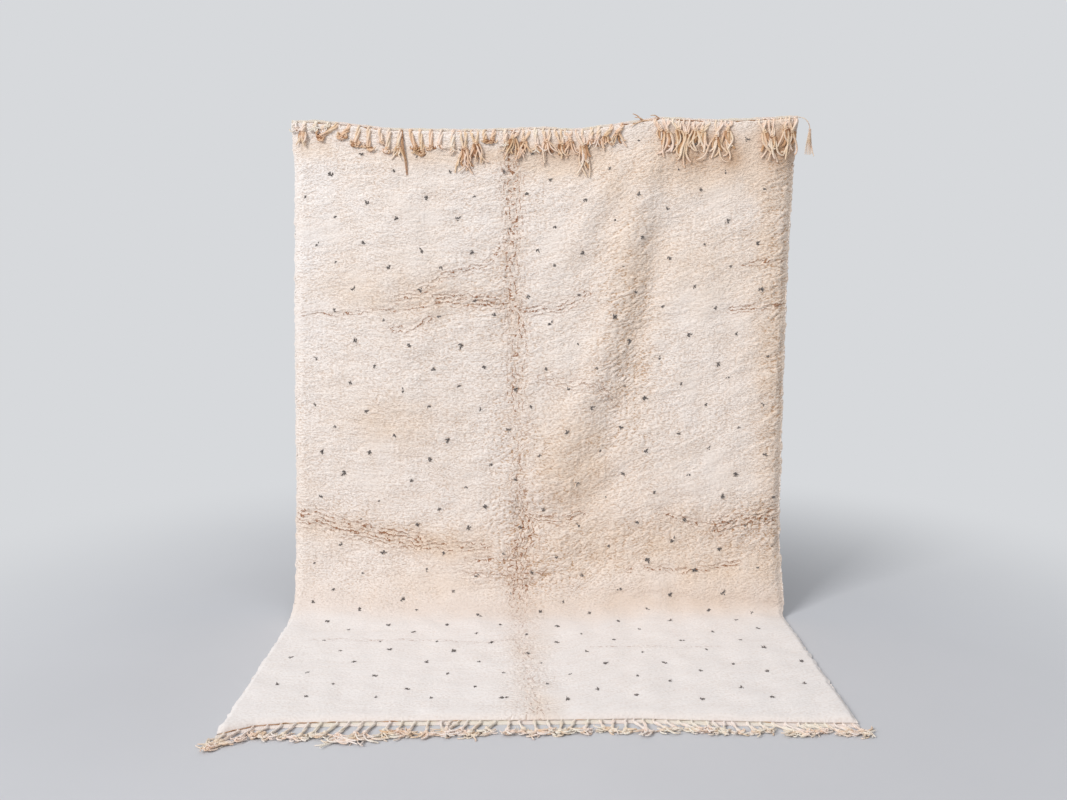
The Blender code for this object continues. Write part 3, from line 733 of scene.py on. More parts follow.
def scattered(name, places, outward, fall, shapes, sizes, turn, seed, material):
    """A piece of one of the shapes at each place, its z outward and its x towards the fall."""
    points = bpy.data.meshes.new(name)
    points.from_pydata(places, [], [])
    set_values(points, "outward", outward, 3)
    set_values(points, "fall", fall, 3)
    piece = bpy.data.objects.new(name, points)
    bpy.context.scene.collection.objects.link(piece)

    tree = bpy.data.node_groups.new(name, "GeometryNodeTree")
    values = new_inputs(tree, ("Places", "Geometry", None), ("Shapes", "Collection", shapes),
                        ("Least size", "Float", sizes[0]), ("Most size", "Float", sizes[1]),
                        ("Turn", "Float", turn), ("Seed", "Int", seed), ("Wool", "Material", material))
    tree.interface.new_socket("Tufts", in_out="OUTPUT", socket_type="NodeSocketGeometry")
    given = add(tree, "NodeGroupInput").outputs
    towards = add(tree, "GeometryNodeInputNamedAttribute", {"Name": "outward"}, data_type="FLOAT_VECTOR")
    falling = add(tree, "GeometryNodeInputNamedAttribute", {"Name": "fall"}, data_type="FLOAT_VECTOR")
    facing = add(tree, "FunctionNodeAxesToRotation", {"Primary Axis": towards.outputs[0],
                                                      "Secondary Axis": falling.outputs[0]},
                 primary_axis="Z", secondary_axis="X")
    away = add(tree, "ShaderNodeMath", {0: given["Turn"], 1: -1.0}, operation="MULTIPLY")
    twist = add(tree, "FunctionNodeRandomValue", {"Min": away.outputs[0], "Max": given["Turn"],
                                                  "Seed": given["Seed"]}, data_type="FLOAT")
    about = add(tree, "FunctionNodeAxisAngleToRotation", {"Axis": (0, 0, 1), "Angle": twist.outputs[1]})
    turned = add(tree, "FunctionNodeRotateRotation", {"Rotation": facing.outputs[0],
                                                      "Rotate By": about.outputs[0]}, rotation_space="LOCAL")
    other_seed = add(tree, "ShaderNodeMath", {0: given["Seed"], 1: 1.0}, operation="ADD")
    size = add(tree, "FunctionNodeRandomValue", {"Min": given["Least size"], "Max": given["Most size"],
                                                 "Seed": other_seed.outputs[0]}, data_type="FLOAT")
    kinds = add(tree, "GeometryNodeCollectionInfo", {"Collection": given["Shapes"], "Separate Children": True,
                                                     "Reset Children": True})
    which = add(tree, "FunctionNodeRandomValue", {"Min": 0, "Max": len(shapes.objects) - 1,
                                                  "Seed": given["Seed"]}, data_type="INT")
    set_out = add(tree, "GeometryNodeInstanceOnPoints", {
        "Points": given["Places"], "Instance": kinds.outputs[0], "Pick Instance": True,
        "Instance Index": which.outputs[2], "Rotation": turned.outputs[0], "Scale": size.outputs[1]})
    real = add(tree, "GeometryNodeRealizeInstances", {"Geometry": set_out.outputs[0]})
    dyed = add(tree, "GeometryNodeSetMaterial", {"Geometry": real.outputs[0], "Material": given["Wool"]})
    add(tree, "NodeGroupOutput", {"Tufts": dyed.outputs[0]})
    return plain_mesh(piece, tree, values)


def plain_mesh(piece, tree, values):
    """Runs a node tree on the piece and keeps its result as the piece's mesh, with nothing below
    the floor."""
    modifier = piece.modifiers.new(tree.name, "NODES")
    modifier.node_group = tree
    for identifier, value in values.items():
        if value is not None:
            modifier[identifier] = value
    depsgraph = bpy.context.evaluated_depsgraph_get()
    made = bpy.data.meshes.new_from_object(piece.evaluated_get(depsgraph), preserve_all_data_layers=True,
                                           depsgraph=depsgraph)
    piece.modifiers.clear()
    piece.data = made
    places = np.zeros(len(made.vertices) * 3, np.float32)
    made.vertices.foreach_get("co", places)
    places[2::3] = np.maximum(places[2::3], FLOOR_Z + OVER_FLOOR)
    made.vertices.foreach_set("co", places)
    return piece


def on_pile(place_x, place_path):
    """The row and column of the pile's grid nearest to a place on the cloth."""
    r = int(np.searchsorted(path[:, columns // 2], place_path))
    for _ in range(2):
        c = int(np.clip(np.searchsorted(x[min(r, rows)], place_x), 0, columns))
        r = int(np.clip(np.searchsorted(path[:, c], place_path), 0, rows))
    return r, c


# Charcoal wool and the same ivory wool as the pile's, both in short locks: dull, paler at the tips.
lock_wools = {}
for name, root_tone, tip_tone in (("charcoal wool", "3B3534", "726A66"),
                                  ("ivory wool locks", "E6D8CB", "F1E9E4")):
    material, tree, output = new_material(name)
    up = add(tree, "ShaderNodeAttribute", attribute_name="up").outputs["Fac"]
    place = add(tree, "ShaderNodeTexCoord").outputs["Object"]
    fibres = add(tree, "ShaderNodeTexNoise", {"Vector": place, "Scale": 500.0, "Detail": 2.0})
    mottled = add(tree, "ShaderNodeMath", {0: fibres.outputs["Fac"], 1: up}, operation="ADD")
    share = add(tree, "ShaderNodeMapRange", {"Value": mottled.outputs[0], "From Min": 0.2, "From Max": 1.1})
    tone = add(tree, "ShaderNodeMix", {0: share.outputs[0], 6: linear(root_tone), 7: linear(tip_tone)},
               data_type="RGBA")
    bump = add(tree, "ShaderNodeBump", {"Height": fibres.outputs["Fac"], "Strength": 0.8, "Distance": 0.002})
    wool = add(tree, "ShaderNodeBsdfPrincipled", {"Base Color": tone.outputs[2], "Roughness": 0.95,
                                                  "Normal": bump.outputs[0], "Specular IOR Level": 0.1,
                                                  "Sheen Weight": 0.25, "Sheen Roughness": 0.6})
    tree.links.new(wool.outputs[0], output.inputs["Surface"])
    lock_wools[name] = material


def tuft_maker(seed):
    """A tuft of bent locks, 10 to 14 mm across, some of which stray further to one side."""
    chance = random.Random(seed)

    def make(bm):
        for _ in range(LOCKS_IN_TUFT):
            spot = (chance.gauss(0, 0.0034), chance.gauss(0, 0.0026), -0.003)
            strays = chance.random() < 0.16
            lean = chance.uniform(0, 6.28)
            length = 0.014 if strays else chance.uniform(0.005, 0.009)
            lock_shape(bm, spot, lean, length, LOCK_THICK, chance.uniform(0.4, 1.5))
    return make


chance = random.Random(5)
dots = []
dot_path, odd = FIRST_DOTS, False
while dot_path < LAST_DOTS:
    dot_x = -0.98 + (0.5 * DOT_APART if odd else 0.0) + 0.05 * math.sin(dot_path * 4.0)
    while dot_x < 0.99:
        astray_x = chance.uniform(-1, 1) * DOT_ASTRAY
        astray_path = chance.uniform(-1, 1) * DOT_ASTRAY * 0.8
        dots.append((dot_x + astray_x, dot_path + astray_path))
        dot_x += DOT_APART
    dot_path, odd = dot_path + DOT_ROWS, not odd
dots = [dot for dot in dots if abs(dot[0]) < 0.955 and 0.03 < dot[1] < 2.82]
at = tuple(np.array([on_pile(*dot) for dot in dots]).T)
sideways = np.tile((1.0, 0.0, 0.0), (len(dots), 1))
charcoal_shapes = shape_set("charcoal tuft", [tuft_maker(seed) for seed in range(9)])
charcoal = scattered("charcoal_tufts", surface[at], normal[at], sideways, charcoal_shapes, DOT_SIZES,
                     DOT_TURN, 3, lock_wools["charcoal wool"])

BACK_BUMP, BACK_BUMP_APART = (0.0042, 0.0060, 0.0016), 0.0050  # half sizes; from the knot's middle


def knot_back(bm):
    """Two low domes side by side, a knot as it shows on the back."""
    up = bm.verts.layers.float.new("up")
    for side in (-1, 1):
        made = bmesh.ops.create_icosphere(bm, subdivisions=1, radius=1.0)["verts"]
        for vertex in made:
            vertex[up] = 0.3
        bmesh.ops.scale(bm, verts=made, vec=BACK_BUMP)
        bmesh.ops.translate(bm, verts=made, vec=(side * BACK_BUMP_APART, 0, 0.0004))


behind = surface[at] - normal[at] * height[at][:, None]
dot_backs = scattered("charcoal_knot_backs", behind, -normal[at], sideways,
                      shape_set("knot back", [knot_back]), (0.9, 1.1), 0.1, 4, lock_wools["charcoal wool"])
for piece in (charcoal, dot_backs):
    keep_on(piece, "wool_pile")

# ---------------------------------------------------------------------------------------------------
# The rim locks: where the pile ends, at the long sides and at the hanging edge, its outer locks have
# nothing to lean on. They fall outward in a soft uneven rim, with fewer at the left and on the floor.

LOCK_APART = 0.0036
RIM_LOCK_SIZES, RIM_LOCK_TURN = (0.48, 0.86), 1.2
LEFT_OUT = 0.65  # share of the locks that are matted flat at the left side and on the floor


def rim_lock(seed):
    """A pair of bent locks on one knot."""
    chance = random.Random(seed)

    def make(bm):
        for _ in range(2):
            spot = (chance.gauss(0, 0.003), chance.gauss(0, 0.003), -0.008)
            lock_shape(bm, spot, chance.uniform(-0.7, 0.7), chance.uniform(0.010, 0.014), 0.0100,
                       chance.uniform(0.7, 1.4))
    return make


chance = random.Random(8)
places, outward, fall = [], [], []
for c, side in ((0, -1), (columns, 1)):
    along = path[:, c]
    for length in np.arange(0.004, along[-1], LOCK_APART):
        r = int(np.clip(np.searchsorted(along, length + chance.uniform(-0.003, 0.003)), 1, rows - 1))
        share = chance.uniform(0.2, 1.0)
        if laid[r, c] > 0.5 or side < 0:
            share *= 0.5
            if chance.random() < LEFT_OUT:
                continue
        places.append(back[r, c] + normal[r, c] * (GROUND_THICK + (RIM_HEIGHT - GROUND_THICK) * share))
        down = surface[r + 1, c] - surface[r - 1, c]
        outward.append(np.array([side, 0, 0]) + normal[r, c] * chance.uniform(-0.3, 0.7))
        fall.append(down / np.linalg.norm(down) + np.array([0, 0, -0.2]))
for over in np.arange(-0.995, 0.995, LOCK_APART / 2):
    c = int(np.clip(np.searchsorted(x[0], over + chance.uniform(-0.003, 0.003)), 1, columns - 1))
    sunk = np.array([0, 0, chance.uniform(0.002, 0.007)])
    places.append(back[0, c] - sunk + normal[0, c] * chance.uniform(0.004, 0.016))
    outward.append(np.array([chance.uniform(-0.3, 0.3), 0, 1]) + normal[0, c] * chance.uniform(-0.2, 0.7))
    fall.append(np.array([chance.choice((-1, 1)), 0, 0.1]))
rim_shapes = shape_set("rim lock", [rim_lock(seed) for seed in range(8)])
rim_locks = scattered("side_locks", places, outward, fall, rim_shapes, RIM_LOCK_SIZES, RIM_LOCK_TURN, 6,
                      lock_wools["ivory wool locks"])
keep_on(rim_locks, "wool_pile")

# ---------------------------------------------------------------------------------------------------
# The fringe at the hanging edge: a narrow ribbed heading, from which the unwoven warp ends come out,
# are knotted 2 to 9 cm down and hang loose below. At the left they have shrunk to curled bobbles, and
# in the middle and at the right, where they come two and two, long straw-coloured yarns are left.

TASSELS, CORNER_YARNS = 48, 7
BARE = ((0.33, 0.43), (0.77, 0.83))  # where they have worn away
YARN_THICK, YARN_SIDES = 0.0074, 6
TWIST_TURN = 0.012
HEADING_HIGH, HEADING_THICK, HEADING_RIBS = 0.012, 0.0036, 3
HEADING_STEPS = 420
KNOT_OUT, KNOT_RADIUS = 0.0250, 0.0070
KNOT_TURNS, KNOT_POINTS = 2.2, 15
ROOTS_APART = 0.0115  # of a pair, either way from its middle
LOOSE_POINTS, TWINING_POINTS = 10, 320

# until across; then the lean and drop of the knot, the loose yarns' length, spread, curl and number,
# the tones of the roots and of the loose yarns (0 cream, 0.25 pinkish, 0.5 straw, 0.75 tan, 1 brown),
# the number of roots and how thick the loose yarns are
HANGING = (
    (-0.97, 0.006, 0.020, 0.036, 1.30, 4.8, 9, 0.06, 0.12, 1, 1.00),
    (-0.93, -0.010, 0.040, 0.054, 0.26, 0.7, 10, 0.16, 0.40, 1, 1.15),
    (-0.88, -0.010, 0.018, 0.034, 1.20, 4.8, 9, 0.06, 0.12, 1, 1.00),
    (-0.84, -0.018, 0.022, 0.028, 1.10, 4.4, 8, 0.08, 0.16, 1, 1.00),
    (-0.79, -0.062, 0.050, 0.036, 1.40, 5.6, 14, 0.46, 0.74, 1, 1.10),
    (-0.75, -0.024, 0.048, 0.034, 1.40, 5.6, 14, 0.48, 0.58, 1, 1.10),
    (-0.70, -0.018, 0.074, 0.034, 1.40, 5.4, 13, 0.34, 0.62, 1, 1.10),
    (-0.66, 0.000, 0.072, 0.034, 1.30, 5.4, 12, 0.42, 0.58, 1, 1.05),
    (-0.62, 0.010, 0.042, 0.026, 0.80, 3.4, 4, 0.26, 0.36, 1, 0.85),
    (-0.58, -0.006, 0.076, 0.036, 1.20, 5.0, 11, 0.28, 0.48, 1, 1.05),
    (-0.54, -0.008, 0.062, 0.060, 0.30, 0.8, 8, 0.28, 0.36, 1, 1.00),
    (-0.50, 0.020, 0.058, 0.034, 1.20, 4.8, 9, 0.60, 0.76, 1, 1.00),
    (-0.45, 0.012, 0.088, 0.038, 1.20, 4.8, 11, 0.34, 0.64, 1, 1.00),
    (-0.40, -0.004, 0.066, 0.038, 0.80, 3.8, 8, 0.40, 0.62, 1, 1.00),
    (-0.32, 0.000, 0.052, 0.040, 0.60, 2.6, 6, 0.20, 0.24, 1, 0.95),
    (-0.24, 0.000, 0.052, 0.092, 0.22, 0.8, 13, 0.42, 0.54, 2, 1.05),
    (-0.19, -0.004, 0.048, 0.032, 0.90, 4.8, 8, 0.44, 0.72, 1, 0.95),
    (-0.14, 0.004, 0.050, 0.036, 0.60, 2.6, 6, 0.20, 0.26, 1, 0.95),
    (-0.06, 0.000, 0.046, 0.084, 0.30, 0.9, 12, 0.36, 0.54, 2, 1.05),
    (-0.02, 0.004, 0.050, 0.040, 0.60, 2.4, 7, 0.24, 0.30, 1, 0.95),
    (0.05, 0.000, 0.044, 0.086, 0.40, 1.2, 12, 0.34, 0.48, 2, 1.05),
    (0.12, 0.004, 0.042, 0.074, 0.34, 1.2, 11, 0.40, 0.50, 2, 1.05),
    (0.19, 0.006, 0.048, 0.124, 0.14, 0.5, 11, 0.30, 0.38, 2, 1.10),
    (0.26, 0.000, 0.040, 0.046, 0.40, 1.4, 6, 0.30, 0.36, 1, 0.95),
    (0.33, -0.010, 0.044, 0.062, 0.34, 1.4, 7, 0.50, 0.54, 1, 0.95),
    (0.45, 0.010, 0.045, 0.062, 0.40, 1.2, 5, 0.34, 0.40, 1, 0.95),
    (0.77, 0.000, 0.048, 0.118, 0.26, 0.8, 7, 0.26, 0.44, 2, 1.34),
    (1.00, 0.004, 0.050, 0.116, 0.24, 0.8, 8, 0.30, 0.46, 2, 1.34),
)


def line_through(points, count):
    """A smooth line of that many points through the given ones."""
    p = np.asarray(points, float)
    p = np.concatenate([[2 * p[0] - p[1]], p, [2 * p[-1] - p[-2]]])
    t = np.linspace(0, len(p) - 3, count)
    k = np.minimum(t.astype(int), len(p) - 4)
    f = (t - k)[:, None]
    a, b, c, d = p[k], p[k + 1], p[k + 2], p[k + 3]
    return 0.5 * (2 * b + (c - a) * f + (2 * a - 5 * b + 4 * c - d) * f**2 + (3 * b - a - 3 * c + d) * f**3)


def wound(line, strands, apart, turns, thick, tones, chance):
    """Yarns wound about each other along a line."""
    step = np.gradient(line, axis=0)
    step /= np.linalg.norm(step, axis=1, keepdims=True)
    beside = np.cross(step, (0.0, 0.0, 1.0))
    beside /= np.linalg.norm(beside, axis=1, keepdims=True)
    above = np.cross(beside, step)
    share = np.linspace(0, 1, len(line))
    start = chance.uniform(0, 6.28)
    made = []
    for strand in range(strands):
        angle = (start + 2 * math.pi * (strand / strands + turns * share))[:, None]
        yarn = line + apart * (np.cos(angle) * beside + np.sin(angle) * above)
        tone = tones[0] + (tones[1] - tones[0]) * share + chance.uniform(-0.08, 0.08)
        made.append((yarn, np.full(len(line), thick), tone))
    return made


def bound(middle, direction, radius, thick, tone, chance):
    """A knot's wraps about a line."""
    direction = np.asarray(direction, float) / np.linalg.norm(direction)
    beside = np.cross(direction, (0.0, 0.0, 1.0))
    above = np.cross(beside, direction)
    angle = np.linspace(0, 2 * math.pi * KNOT_TURNS, KNOT_POINTS)[:, None] + chance.uniform(0, 6)
    swell = radius * (1 + 0.15 * np.sin(angle * 0.7))
    line = middle + swell * (np.cos(angle) * beside + 0.8 * np.sin(angle) * above)
    line = line + direction * (np.linspace(-0.5, 0.5, KNOT_POINTS)[:, None] * thick * KNOT_TURNS)
    return [(line, np.full(len(line), thick), np.full(len(line), tone))]


def loose(start, heading, length, curl, sink, thick, tone, chance):
    """A free yarn end: it leaves at an angle from straight down, turns by the curl, and rises
    and sinks a little over what it lies on."""
    share = np.linspace(0, 1, LOOSE_POINTS)
    wave = chance.uniform(0.10, 0.34) * np.sin(share * chance.uniform(3, 8) + chance.uniform(0, 6))
    hook = chance.choice((0.0, 0.0, 0.0, 1.0, -1.0)) * chance.uniform(1.4, 2.6) * (abs(curl) < 1.6)
    angle = heading * (1 - 0.5 * share) + curl * share**1.2 + wave + hook * share**6
    step = length / (LOOSE_POINTS - 1)
    u = start[0] + np.concatenate([[0], np.cumsum(np.sin(angle[:-1]) * step)])
    v = start[1] + np.concatenate([[0], np.cumsum(np.cos(angle[:-1]) * step)])
    w = start[2] + sink * share + chance.uniform(-0.003, 0.004) * np.sin(share * math.pi)
    # painted shade: each yarn end is darker where it leaves the knot
    tones = tone + chance.uniform(-0.12, 0.12) + 0.20 * (1 - share) ** 3
    return [(np.stack([u, v, w], axis=1), thick * (1 - 0.25 * share**4), tones)]


def spun(name, strands, place, material):
    """A piece of yarns from (u, v, w) lines, as tubes by Geometry Nodes; place turns them to x, y, z."""
    points, edges, thick, tone = [], [], [], []
    for line, width, tones in strands:
        start = len(points)
        points.extend(place(line).tolist())
        edges.extend((start + k, start + k + 1) for k in range(len(line) - 1))
        thick.extend(width)
        tone.extend(tones)
    mesh = bpy.data.meshes.new(name)
    mesh.from_pydata(points, edges, [])
    set_values(mesh, "thick", thick)
    set_values(mesh, "tone", tone)
    piece = bpy.data.objects.new(name, mesh)
    bpy.context.scene.collection.objects.link(piece)

    tree = bpy.data.node_groups.new(name, "GeometryNodeTree")
    values = new_inputs(tree, ("Lines", "Geometry", None), ("Sides", "Int", YARN_SIDES),
                        ("Thickness", "Float", 1.0), ("Yarn", "Material", material))
    tree.interface.new_socket("Yarns", in_out="OUTPUT", socket_type="NodeSocketGeometry")
    given = add(tree, "NodeGroupInput").outputs
    lines = add(tree, "GeometryNodeMeshToCurve", {"Mesh": given["Lines"]})
    gone = add(tree, "GeometryNodeSplineParameter")
    lines = add(tree, "GeometryNodeStoreNamedAttribute", {"Geometry": lines.outputs[0], "Name": "along",
                                                          "Value": gone.outputs["Length"]}, domain="POINT")
    width = add(tree, "GeometryNodeInputNamedAttribute", {"Name": "thick"})
    width = add(tree, "ShaderNodeMath", {0: width.outputs[0], 1: given["Thickness"]}, operation="MULTIPLY")
    ring = add(tree, "GeometryNodeCurvePrimitiveCircle", {"Resolution": given["Sides"], "Radius": 0.5})
    round_place = add(tree, "GeometryNodeInputPosition")
    ring = add(tree, "GeometryNodeStoreNamedAttribute", {"Geometry": ring.outputs[0], "Name": "round",
                                                         "Value": round_place.outputs[0]},
               data_type="FLOAT_VECTOR", domain="POINT")
    tube = add(tree, "GeometryNodeCurveToMesh", {"Curve": lines.outputs[0], "Profile Curve": ring.outputs[0],
                                                 "Scale": width.outputs[0], "Fill Caps": True})
    soft = add(tree, "GeometryNodeSetShadeSmooth", {"Geometry": tube.outputs[0]})
    real = add(tree, "GeometryNodeRealizeInstances", {"Geometry": soft.outputs[0]})
    dyed = add(tree, "GeometryNodeSetMaterial", {"Geometry": real.outputs[0], "Material": given["Yarn"]})
    add(tree, "NodeGroupOutput", {"Yarns": dyed.outputs[0]})
    return plain_mesh(piece, tree, values)


def ribbed_strip(name, wide, thick, ribs, place, material):
    """A woven heading: a strip of cords side by side, rounded at its edges. place takes across, out
    and rise."""
    across = np.linspace(-1, 1, HEADING_STEPS + 1)
    share = np.linspace(0, 1, ribs * 4 + 1)
    bulge = np.abs(np.sin(share * math.pi * ribs))
    edge = np.minimum(1, np.sqrt(np.maximum(1 - np.abs(2 * share - 1) ** 6, 0)))
    upper = np.stack([share * wide, thick * (0.62 + 0.38 * bulge) * edge], axis=1)
    lower = np.stack([share[::-4] * wide, np.zeros(len(share[::-4]))], axis=1)[1:-1]
    ring = np.concatenate([upper, lower])
    points, twist = [], []
    for a in across:
        wave = 0.0010 * math.sin(a * 61) + 0.0007 * math.sin(a * 143 + 1)
        points.extend(place(a, out + wave, rise) for out, rise in ring)
        turn = [2 * math.pi * out / wide * ribs for out, _ in ring]
        twist.extend((math.cos(t), math.sin(t), 0) for t in turn)
    size = len(ring)
    faces = [(k * size + j, k * size + (j + 1) % size, (k + 1) * size + (j + 1) % size, (k + 1) * size + j)
             for k in range(HEADING_STEPS) for j in range(size)]
    faces += [tuple(range(size)), tuple(HEADING_STEPS * size + j for j in reversed(range(size)))]
    piece = mesh_piece(name, points, faces, material)
    bm = bmesh.new()
    bm.from_mesh(piece.data)
    bmesh.ops.recalc_face_normals(bm, faces=bm.faces[:])
    bm.to_mesh(piece.data)
    bm.free()
    piece.data.shade_smooth()
    set_values(piece.data, "along", [p[0] for p in points])
    set_values(piece.data, "round", twist, 3)
    set_values(piece.data, "tone", [0.05 * noise.noise((p[0] * 9, p[1] * 3, 2)) for p in points])
    return piece


# Unbleached yarn: dry, loosely twisted two-ply wool and cotton, cream where clean and straw to brown
# where it has weathered. The twist, 12 mm a turn, is in the bump.
yarn, tree, output = new_material("unbleached warp yarn")
tone = add(tree, "ShaderNodeAttribute", attribute_name="tone").outputs["Fac"]
along = add(tree, "ShaderNodeAttribute", attribute_name="along").outputs["Fac"]
about = add(tree, "ShaderNodeAttribute", attribute_name="round").outputs["Vector"]
place = add(tree, "ShaderNodeTexCoord").outputs["Object"]
parts = add(tree, "ShaderNodeSeparateXYZ", {0: about})
angle = add(tree, "ShaderNodeMath", {0: parts.outputs[1], 1: parts.outputs[0]}, operation="ARCTAN2")
gone = add(tree, "ShaderNodeMath", {0: along, 1: 2 * math.pi / TWIST_TURN}, operation="MULTIPLY")
turn = add(tree, "ShaderNodeMath", {0: angle.outputs[0], 1: gone.outputs[0]}, operation="ADD")
turn = add(tree, "ShaderNodeMath", {0: turn.outputs[0], 1: 2.0}, operation="MULTIPLY")
ply = add(tree, "ShaderNodeMath", {0: turn.outputs[0]}, operation="SINE")
fibres = add(tree, "ShaderNodeTexNoise", {"Vector": place, "Scale": 420.0, "Detail": 3.0, "Roughness": 0.6})
worn = add(tree, "ShaderNodeTexNoise", {"Vector": place, "Scale": 60.0, "Detail": 2.0})
shift = add(tree, "ShaderNodeMapRange", {"Value": worn.outputs["Fac"], "From Min": 0.3, "From Max": 0.7,
                                         "To Min": -0.10, "To Max": 0.10})
toned = add(tree, "ShaderNodeMath", {0: tone, 1: shift.outputs[0]}, operation="ADD", use_clamp=True)
ramp = add(tree, "ShaderNodeValToRGB", {"Fac": toned.outputs[0]})
stops = ((0.0, "F1EBE6"), (0.25, "EBD9CA"), (0.5, "E2C5A9"), (0.75, "C9A27F"), (1.0, "93694B"))
for _ in stops[2:]:
    ramp.color_ramp.elements.new(0.5)
for element, (spot, colour) in zip(ramp.color_ramp.elements, stops):
    element.position, element.color = spot, linear(colour)
# painted shade: the yarn is a little darker in the grooves between its plies
ply_groove_shade = add(tree, "ShaderNodeMapRange", {"Value": ply.outputs[0], "From Min": -1.0, "From Max": 1.0,
                                       "To Min": 0.94, "To Max": 1.02})
batch = add(tree, "ShaderNodeTexNoise", {"Vector": place, "Scale": 16.0, "Detail": 1.0})
batch = add(tree, "ShaderNodeMapRange", {"Value": batch.outputs["Fac"], "From Min": 0.40, "From Max": 0.60})
tint = add(tree, "ShaderNodeMix", {0: batch.outputs[0], 6: linear("FFF8F5"), 7: linear("FCF9EF")},
           data_type="RGBA")
lit = add(tree, "ShaderNodeVectorMath", {0: ramp.outputs[0], 1: tint.outputs[2]}, operation="MULTIPLY")
lit = add(tree, "ShaderNodeVectorMath", {0: lit.outputs[0], "Scale": ply_groove_shade.outputs[0]}, operation="SCALE")
height_in = add(tree, "ShaderNodeMath", {0: ply.outputs[0], 1: 0.5}, operation="MULTIPLY")
height_in = add(tree, "ShaderNodeMath", {0: height_in.outputs[0], 1: fibres.outputs["Fac"]}, operation="ADD")
bump = add(tree, "ShaderNodeBump", {"Height": height_in.outputs[0], "Strength": 0.7, "Distance": 0.0010})
spun_wool = add(tree, "ShaderNodeBsdfPrincipled", {"Base Color": lit.outputs[0], "Roughness": 0.9,
                                                   "Normal": bump.outputs[0], "Specular IOR Level": 0.15,
                                                   "Sheen Weight": 0.2, "Sheen Roughness": 0.5})
tree.links.new(spun_wool.outputs[0], output.inputs["Surface"])


def over_pile(line):
    """World places of (u, v, w): u is x, v the drop below the hanging edge, w out from the back."""
    u, v, w = np.asarray(line, float).T
    left, right = SIDES[0, 1:]
    across = np.clip((u - left) / (right - left) * 2 - 1, -1, 1)
    rise, foot = station(across, 1), FLOOR_Z + station(across, 3)
    back_y = cloth_back(across, np.clip(v, 0, 1) / (rise - foot) * HUNG)[1]
    return np.stack([u, back_y - w, rise - v], axis=1)


def top_strip(across, out, rise):
    """World places on the heading that stands along the hanging edge."""
    return (between(*SIDES[0, 1:], across), station(across, 2) - rise, station(across, 1) + 0.0004 + out)


chance = random.Random(21)
strands = []
left, right = SIDES[0, 1:]
for number in range(TASSELS):
    across_at = (2 * number + 1) / TASSELS - 1 + chance.uniform(-0.006, 0.006)
    if any(start < across_at < end for start, end in BARE):
        continue
    kind = next(row for row in HANGING if across_at <= row[0])
    lean, drop, free, spread, curl, count, root_tone, tone_at, roots, stout = kind[1:]
    shrunk = across_at < -0.4
    u = between(left, right, across_at)
    lean += chance.uniform(-0.006, 0.006) + (0.0 if shrunk else 0.010 * math.sin(17 * across_at))
    drop *= chance.uniform(0.88, 1.14) if shrunk else chance.uniform(0.65, 1.35)
    free *= chance.uniform(0.85, 1.12)
    knot = np.array([u + lean, drop, KNOT_OUT])
    crossed = -1 if chance.random() < 0.3 else 1
    if roots == 1:
        sides, yarns, apart, thick = (0,), 3, 0.0050, YARN_THICK * 1.30
    else:
        sides, yarns, apart, thick = (-1, 1), 2, 0.0034, YARN_THICK * 1.15
    root_tones = (root_tone * 0.75, root_tone * 0.5 + tone_at * 0.4)
    for side in sides:
        start = u + side * ROOTS_APART + chance.uniform(-0.002, 0.002)
        middle = start + (knot[0] - start) * 0.45 + side * crossed * 0.003
        end = (knot[0] + side * crossed * 0.003, drop, knot[2])
        line = line_through([(start, -0.001, 0.006), (start, 0.002, 0.015),
                             (start + lean * 0.1, 0.014, 0.0200), (middle, drop * 0.55, 0.0225), end], 9)
        strands += wound(line, yarns, apart, chance.uniform(0.4, 0.9), thick, root_tones, chance)
    ahead = (knot[0] - u, drop, 0.002)
    strands += bound(knot, ahead, KNOT_RADIUS, YARN_THICK * 0.9, tone_at * 0.8 + 0.10, chance)
    hang = math.atan2(lean, 0.12)
    for strand in range(count):
        fan = (strand + 0.5) / count * 2 - 1
        start = knot + np.array([fan * (0.006 if curl > 2 else 0.012), 0.003, chance.uniform(-0.002, 0.003)])
        # every third yarn lies lower in the bunch; its darker tone is partly darker yarn and partly painted
        # shade
        inside = strand % 3 == 1
        heading = hang + spread * fan * (0.5 if inside else 1.0) + chance.uniform(-0.2, 0.2)
        length = free * (chance.uniform(0.50, 1.06) if curl < 2 else chance.uniform(0.6, 1.1))
        turn = curl * chance.choice((-1, 1)) * chance.uniform(0.5, 1.1)
        if inside:
            strands += loose(start, heading, length * 0.72, turn, -0.004, YARN_THICK * stout * 1.3,
                             tone_at + 0.32, chance)
        else:
            strands += loose(start, heading, length, turn, chance.uniform(-0.001, 0.007),
                             YARN_THICK * stout * chance.uniform(0.75, 1.0), tone_at - 0.12, chance)

# strays: wisps that stand up over the edge, and at the left one long brown strand, in part a painted shadow
# line
for base, tip, tone_at in (((0.404, -0.002), (0.364, -0.036), 0.62), ((0.412, -0.002), (0.372, -0.020), 0.52),
                           ((0.440, -0.002), (0.356, 0.010), 0.50), ((0.470, -0.004), (0.434, -0.018), 0.60)):
    bow = ((base[0] + tip[0]) / 2, (base[1] + tip[1]) / 2 - 0.006)
    line = line_through([(*base, 0.006), (*bow, 0.020), (*tip, 0.028)], 8)
    strands.append((line, YARN_THICK * np.linspace(0.8, 0.45, 8), np.full(8, tone_at)))
for shift in (0.0, 0.005):
    line = line_through([(-0.560 + shift, 0.0, 0.018), (-0.556 + shift, 0.06, 0.027),
                         (-0.544 + shift, 0.12, 0.026), (-0.538 + shift, 0.178, 0.022)], 12)
    strands.append((line, YARN_THICK * np.linspace(0.75, 0.40, 12), np.full(12, 0.80 + shift * 20)))

